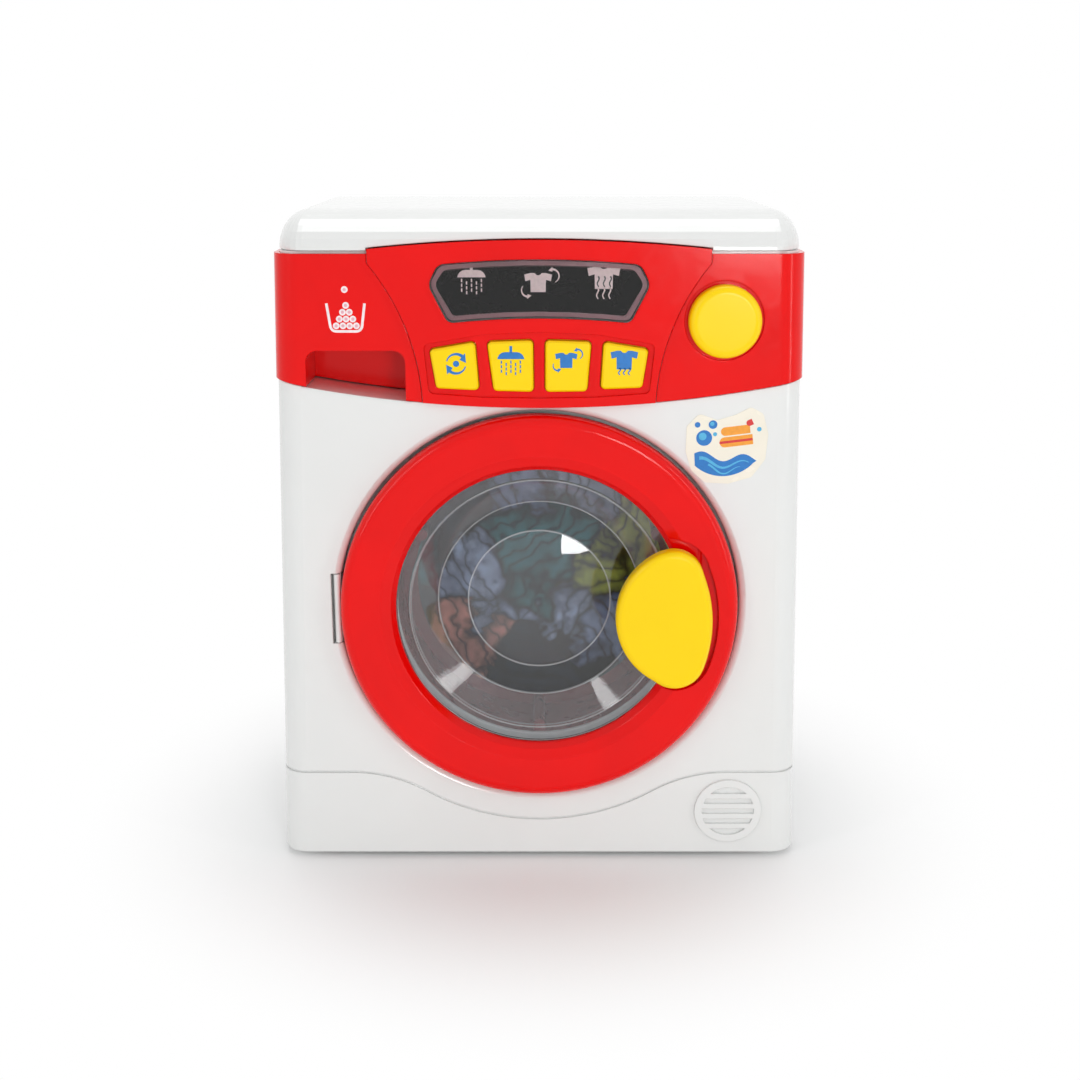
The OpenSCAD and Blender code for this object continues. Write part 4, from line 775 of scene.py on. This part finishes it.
@dataclass
class ControlPanel:
    """Signs on the buttons, the display and the drawer's front."""

    key_face: float = 3.6
    mask_face: float = -0.6
    wing_face: float = 0.9
    window_top: float = 247.9
    window_top_bow: float = 381.0
    window_low: float = 226.1
    window_low_bow: float = 330.0
    window_half: float = 41.3
    window_foot: float = 33.0
    window_waist: float = 238.6
    art: SignArt = field(default_factory=SignArt)

    def build(self, finishes: Finishes) -> None:
        """Prints every sign.

        Args:
            finishes: The finishes to take the inks from.
        """
        self.print_keys(finishes)
        self.print_display(finishes)
        self.lens_edge(finishes)
        self.print_drawer(finishes)

    def print_keys(self, finishes: Finishes) -> None:
        """Prints one sign on each of the four buttons.

        Args:
            finishes: The finishes to take the ink from.
        """
        art = self.art
        hub = (-31.7, 208.9)
        cycle = arrow_bow(hub, 3.7, 165, 50, 1.2, 1.7) + arrow_bow(hub, 3.7, -15, -130, 1.2, 1.7)
        cycle += [ring_of(hub, 1.2)]
        wash = art.shower((-10.8, 210.7), 10.3, 5.0, 1.2)
        turn = art.shirt((10.3, 213.1), 8.5) + arrow_bow((14.6, 212.5), 1.9, -60, 95, 0.7, 0.85)
        turn += arrow_bow((7.1, 208.1), 1.8, 150, 270, 0.7, 0.85)
        dry = art.shirt((32.4, 213.9), 10.5) + art.heat((32.5, 207.2), 3.7, 2.6)
        keys = (("sign_cycle", cycle, "button_a"), ("sign_wash", wash, "button_b"),
                ("sign_turn", turn, "button_c"), ("sign_dry", dry, "button_d"))
        for name, outlines, body in keys:
            FlatPrint(name, outlines, self.key_face, body, "ink_blue", "yellow_plastic").build(finishes)

    def print_display(self, finishes: Finishes) -> None:
        """Prints the three signs of the display, and the dark waves on the last one.

        Args:
            finishes: The finishes to take the inks from.
        """
        art = self.art
        panel = art.shower((-25.6, 241.2), 10.7, 4.2, 1.25)
        panel += art.shirt((-0.4, 242.8), 10.5) + arrow_bow((5.0, 241.7), 2.5, -65, 90, 0.75, 0.95)
        panel += arrow_bow((-4.3, 236.4), 2.4, 140, 265, 0.75, 0.95)
        panel += art.shirt((24.4, 245.3), 12.4) + art.heat((24.4, 237.4), 4.6, 4.3)
        FlatPrint("sign_panel", panel, self.mask_face, "cabinet", "ink_pale", "display_black").build(finishes)
        vents = art.heat((24.6, 241.6), 4.6, 4.0)
        above = self.mask_face + 0.03
        FlatPrint("sign_vents", vents, above, "cabinet", "ink_dark", "display_black").build(finishes)

    def print_drawer(self, finishes: Finishes) -> None:
        """Prints the tub of beads on the drawer's front.

        Args:
            finishes: The finishes to take the inks from.
        """
        left, right, top, low = -80.7, -66.2, 231.5, 220.9
        slant = 1.5
        corners = [(left, top), (left + slant, low), (right - slant, low), (right, top)]
        tub = stroke(rounded(corners, 2.2), 1.0)
        middles = [(-73.7, 236.7)]
        across, up = 2.56, 2.58
        for row, count in enumerate((4, 3, 2, 1)):
            middles += [(-73.4 + (k - (count - 1) / 2) * across, 223.0 + row * up) for k in range(count)]
        beads = [tub] + [ring_of(spot, 1.27) for spot in middles]
        FlatPrint("sign_drawer", beads, self.wing_face, "drawer", "ink_white", "red_plastic").build(finishes)
        cores = [ring_of(spot, 0.62, 16) for spot in middles]
        above = self.wing_face + 0.02
        FlatPrint("sign_beads", cores, above, "drawer", "ink_pink", "red_plastic").build(finishes)

    def window_line(self, inset: float) -> Outline:
        """The display window's outline, with arched long edges and round corners.

        Args:
            inset: How far inside the window's own edge it runs, in mm.

        Returns:
            The outline's points.
        """

        def high(x: float) -> float:
            """Height of the top arc."""
            radius = self.window_top_bow
            return self.window_top - radius + math.sqrt(radius ** 2 - x * x) - inset

        def low(x: float) -> float:
            """Height of the lower arc."""
            radius = self.window_low_bow
            return self.window_low - radius + math.sqrt(radius ** 2 - x * x) + inset

        half, foot = self.window_half - inset, self.window_foot - inset * 0.8
        waist = self.window_waist
        corners = [((-half - 0.6, waist), 5.0), ((-half + 3.2, high(half - 3.2)), 4.2)]
        corners += [((x, high(x)), 0.0) for x in (-30.0, -18.0, -6.0, 6.0, 18.0, 30.0)]
        corners += [((half - 3.2, high(half - 3.2)), 4.2), ((half + 0.6, waist), 5.0)]
        corners += [((foot + 1.6, low(foot + 1.6)), 3.2)]
        corners += [((x, low(x)), 0.0) for x in (24.0, 12.0, 0.0, -12.0, -24.0)]
        corners += [((-foot - 1.6, low(foot + 1.6)), 3.2)]
        line: Outline = []
        for i, (here, radius) in enumerate(corners):
            if radius == 0:
                line.append(here)
                continue
            spot = Vector(here)
            before = (Vector(corners[i - 1][0]) - spot).normalized()
            after = (Vector(corners[(i + 1) % len(corners)][0]) - spot).normalized()
            half_angle = before.angle(after) / 2
            run = max(0.3, radius - inset * 0.5) / math.tan(half_angle)
            line += corner_round(spot + before * run, spot, spot + after * run, 8)
        return line

    def lens_edge(self, finishes: Finishes) -> None:
        """Lays a pinkish-grey border behind the lens's raised rim: the red seen through the clear rim,
        lightened by a painted highlight.

        Args:
            finishes: The finishes.
        """
        outer, inner = self.window_line(0.45), self.window_line(2.2)
        back, front = self.mask_face, self.mask_face + 0.06
        work = bmesh.new()
        rows = []
        for line, proud in ((outer, front), (inner, front), (inner, back), (outer, back)):
            rows.append([work.verts.new((x * MM, (FRONT_Y - proud) * MM, z * MM)) for x, z in line])
        count = len(outer)
        for k in range(4):
            for i in range(count):
                a, b = rows[k], rows[(k + 1) % 4]
                work.faces.new((a[i], a[(i + 1) % count], b[(i + 1) % count], b[i]))
        piece = lay_mesh(work, "lens_edge", finishes, "rim_pink_and_painted_highlight")
        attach(piece, "cabinet")
        LOG.info("laid lens_edge")


@dataclass
class FrontLabel:
    """The die-cut label's generic picture: bubbles, a wave and folded towels."""

    face: float = 0.2
    middle: Point = (73.0, 176.0)

    def build(self, finishes: Finishes) -> None:
        """Prints the label's picture in layers.

        Args:
            finishes: The finishes to take the inks from.
        """
        x, z = self.middle
        steps = [i / 24 for i in range(25)]
        top = [(x - 12.6 + 24.4 * t, z - 3.4 - 1.6 * t + 1.7 * math.sin(0.4 + t * math.tau * 1.5))
               for t in steps]
        keel = bow((x - 1.4, z + 4.4), 16.2, -42, -132, 20)
        crest = stroke([(a, b - 2.6) for a, b in top[2:22]], 1.3, 0.3)
        ripple = stroke([(a * 0.82 + x * 0.18, b - 5.0) for a, b in top[4:20]], 0.8, 0.2)
        towel = self.folded((x + 3.6, z + 2.2), 13.0, 4.0, 7.0)
        upper = self.folded((x + 3.2, z + 6.4), 11.4, 3.4, 7.0)
        stripe = self.folded((x + 3.5, z + 2.2), 13.0, 1.0, 7.0)
        tag = self.folded((x + 8.6, z + 9.4), 2.6, 2.4, 24.0)
        foam = [ring_of((x - 8.9, z + 3.4), 3.1), ring_of((x - 5.6, z + 8.7), 1.7),
                ring_of((x - 11.6, z + 8.6), 1.1)]
        shine = [ring_of((x - 9.5, z + 4.0), 1.5), ring_of((x - 5.9, z + 9.0), 0.8),
                 ring_of((x - 4.7, z + 4.9), 0.8), ring_of((x + 12.4, z + 6.9), 0.9)]
        layers = (("label_wave", [top + keel], "ink_blue"), ("label_crest", [crest, ripple], "ink_sky"),
                  ("label_towel", [towel, upper], "ink_orange"), ("label_stripe", [stripe, tag], "ink_red"),
                  ("label_bubbles", foam, "ink_blue"), ("label_spray", shine, "ink_sky"))
        for depth, (name, outlines, ink) in enumerate(layers):
            sign = FlatPrint(name, outlines, self.face + 0.005 * depth, "cabinet", ink, "label_film", 0.03)
            sign.build(finishes)

    def folded(self, at: Point, width: float, height: float, tilt: float) -> Outline:
        """A folded towel seen from its edge: round at the fold, square at the open end.

        Args:
            at: Its middle.
            width: Its length along the fold.
            height: Its height.
            tilt: Its slope in degrees.

        Returns:
            The outline.
        """
        half = width / 2 - height / 2
        edge = bow((-half, 0.0), height / 2, 90, 270, 10)
        edge += [(width / 2, -height / 2), (width / 2, height / 2)]
        c, s = math.cos(math.radians(tilt)), math.sin(math.radians(tilt))
        return [(at[0] + a * c - b * s, at[1] + a * s + b * c) for a, b in edge]


@dataclass
class Dressing:
    """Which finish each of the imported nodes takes."""

    nodes: dict[str, bpy.types.Object]
    finish_of: dict[str, str] = field(default_factory=lambda: {
        "front_casing": "white_moulding", "rear_casing": "white_moulding", "lid": "white_moulding",
        "feet": "foot_rubber", "casing_screws": "steel", "lid_screws": "steel", "fascia": "red_moulding",
        "right_panel": "red_moulding", "display_lens": "lens_clear", "display_mask": "mask_black",
        "control_board": "board_green", "indicator_leds": "lens_clear", "button_switches": "black_moulding",
        "key_pad": "pad_rubber", "board_screws": "steel", "selector_switch": "black_moulding",
        "button_cycle": "yellow_moulding", "button_wash": "yellow_moulding", "button_spin": "yellow_moulding",
        "button_dry": "yellow_moulding", "knob": "yellow_moulding", "drawer_front": "red_moulding",
        "drawer_tray": "white_moulding", "drawer_guide": "grey_moulding", "door_ring": "red_moulding",
        "door_back": "hinge_moulding", "door_window": "window_clear",
        "door_screws": "steel", "hinge_pin": "steel",
        "door_catch": "grey_moulding", "handle": "yellow_moulding",
        "handle_pin": "steel", "latch_spring": "steel",
        "tub": "grey_moulding", "tub_screws": "steel", "shaft_bush": "gear_nylon", "drum": "drum_maroon",
        "drum_card": "laundry_picture", "drum_shaft": "steel", "drum_gear": "gear_nylon",
        "gearbox_case": "black_moulding", "gearbox_screws": "steel",
        "idler_axle": "steel", "idler_gear": "gear_nylon",
        "motor": "steel", "motor_pinion": "brass",
        "speaker": "black_moulding", "speaker_clamp": "grey_moulding",
        "battery_cells": "cell_wrap", "battery_contacts": "steel", "battery_cover": "white_moulding",
        "cover_screw": "steel", "label": "label_film",
    })

    def build(self, finishes: Finishes) -> None:
        """Gives every node its finish.

        Args:
            finishes: The finishes.
        """
        for name, piece in self.nodes.items():
            finishes.coat(piece, self.finish_of[name])
            LOG.info("dressed %s", name)


@dataclass
class Studio:
    """Pale floor, soft lights and the camera."""

    camera_at: tuple[float, float, float] = (0.0003, -0.6326, 0.297)
    pitch: float = 15.5
    lens: float = 50.0
    sky: float = 0.58
    floor_half: float = 12.0
    shadow_reach: tuple[float, float] = (0.08, 0.21)

    def build(self) -> None:
        """Sets up the whole studio."""
        self.camera()
        self.floor()
        self.world()
        self.lights()

    def camera(self) -> None:
        """Puts the camera where the photograph was taken."""
        data = bpy.data.cameras.new("camera")
        data.lens = self.lens
        data.sensor_width = 36.0
        data.clip_start = 0.01
        seen = bpy.data.objects.new("camera", data)
        seen.location = self.camera_at
        seen.rotation_euler = (math.radians(90 - self.pitch), 0.0, 0.0)
        bpy.context.scene.collection.objects.link(seen)
        bpy.context.scene.camera = seen

    def floor(self) -> None:
        """Lays a wide pale floor."""
        mesh = bpy.data.meshes.new("floor")
        size = self.floor_half
        corners = [(-size, -size, 0), (size, -size, 0), (size, size, 0), (-size, size, 0)]
        mesh.from_pydata(corners, [], [(0, 1, 2, 3)])
        piece = bpy.data.objects.new("floor", mesh)
        graph = NodeGraph("floor_paper")
        graph.set(Roughness=0.8)
        haze = graph.noise(6.0, 2.0)
        tint = graph.ramp(haze.outputs["Fac"], [(0.0, (0.90, 0.90, 0.90)), (1.0, (0.92, 0.92, 0.92))])
        graph.link(tint.outputs["Color"], graph.shader.inputs["Base Color"])
        reach = graph.add("ShaderNodeVectorMath", operation="LENGTH")
        graph.link(graph.place(), reach.inputs[0])
        far = graph.map_range(reach.outputs["Value"], self.shadow_reach, (0.0, 1.0), "SMOOTHSTEP")
        seen = self.seen(graph.tree)
        both = graph.add("ShaderNodeMath", operation="MULTIPLY")
        graph.link(far, both.inputs[0])
        graph.link(seen, both.inputs[1])
        glow = graph.add("ShaderNodeEmission")
        mixed = graph.add("ShaderNodeMixShader")
        graph.link(both.outputs[0], mixed.inputs["Fac"])
        graph.link(graph.shader.outputs["BSDF"], mixed.inputs[1])
        graph.link(glow.outputs["Emission"], mixed.inputs[2])
        graph.link(mixed.outputs["Shader"], graph.tree.nodes["Material Output"].inputs["Surface"])
        mesh.materials.append(graph.material)
        bpy.context.scene.collection.objects.link(piece)

    def seen(self, tree: bpy.types.NodeTree) -> bpy.types.NodeSocket:
        """Adds nodes that give 1 for camera, glossy and transmission rays, and 0 for others.

        Args:
            tree: The node tree.

        Returns:
            The value's socket.
        """
        path = tree.nodes.new("ShaderNodeLightPath")
        first = tree.nodes.new("ShaderNodeMath")
        first.operation = "MAXIMUM"
        last = tree.nodes.new("ShaderNodeMath")
        last.operation = "MAXIMUM"
        tree.links.new(path.outputs["Is Camera Ray"], first.inputs[0])
        tree.links.new(path.outputs["Is Transmission Ray"], first.inputs[1])
        tree.links.new(first.outputs[0], last.inputs[0])
        tree.links.new(path.outputs["Is Glossy Ray"], last.inputs[1])
        return last.outputs[0]

    def world(self) -> None:
        """Makes an even pale sky that is white where it is seen."""
        world = bpy.data.worlds.new("studio")
        bpy.context.scene.world = world
        world.use_nodes = True
        tree = world.node_tree
        back = tree.nodes["Background"]
        back.inputs["Color"].default_value = (1, 1, 1, 1)
        strength = tree.nodes.new("ShaderNodeMapRange")
        strength.inputs["To Min"].default_value = self.sky
        strength.inputs["To Max"].default_value = 1.0
        tree.links.new(self.seen(tree), strength.inputs["Value"])
        tree.links.new(strength.outputs["Result"], back.inputs["Strength"])

    def lamp(self, name: str, at: tuple[float, float, float], aim: tuple[float, float, float],
             size: tuple[float, float], power: float) -> None:
        """Adds one soft area lamp.

        Args:
            name: The lamp's name.
            at: Where it is, in metres.
            aim: The point that it faces.
            size: Its width and height.
            power: Its power in watts.
        """
        data = bpy.data.lights.new(name, "AREA")
        data.shape = "RECTANGLE"
        data.size, data.size_y = size
        data.energy = power
        lamp = bpy.data.objects.new(name, data)
        lamp.location = at
        way = Vector(aim) - Vector(at)
        lamp.rotation_euler = way.to_track_quat("-Z", "Y").to_euler()
        bpy.context.scene.collection.objects.link(lamp)

    def lights(self) -> None:
        """Places the soft lamps round the toy."""
        self.lamp("front_box", (0.27, -1.05, 0.27), (0, -0.05, 0.13), (0.2, 0.2), 2.2)
        self.lamp("fill_left", (-0.95, -0.75, 0.62), (0, 0, 0.13), (0.12, 0.9), 2.0)
        self.lamp("side_right", (0.95, -0.55, 0.40), (0, 0, 0.15), (0.08, 0.8), 1.3)
        self.lamp("top", (0.0, 0.36, 1.2), (0, 0.1, 0.1), (0.9, 0.7), 5.0)


def main() -> None:
    """Builds the whole scene in order."""
    logging.basicConfig(level=logging.INFO, format="%(message)s")
    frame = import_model()
    bpy.context.scene.view_settings.view_transform = "Standard"
    Studio().build()
    finishes = Finishes()
    finishes.build()
    Dressing(frame["nodes"]).build(finishes)
    ControlPanel().build(finishes)
    FrontLabel().build(finishes)


if __name__ == "__main__":
    main()
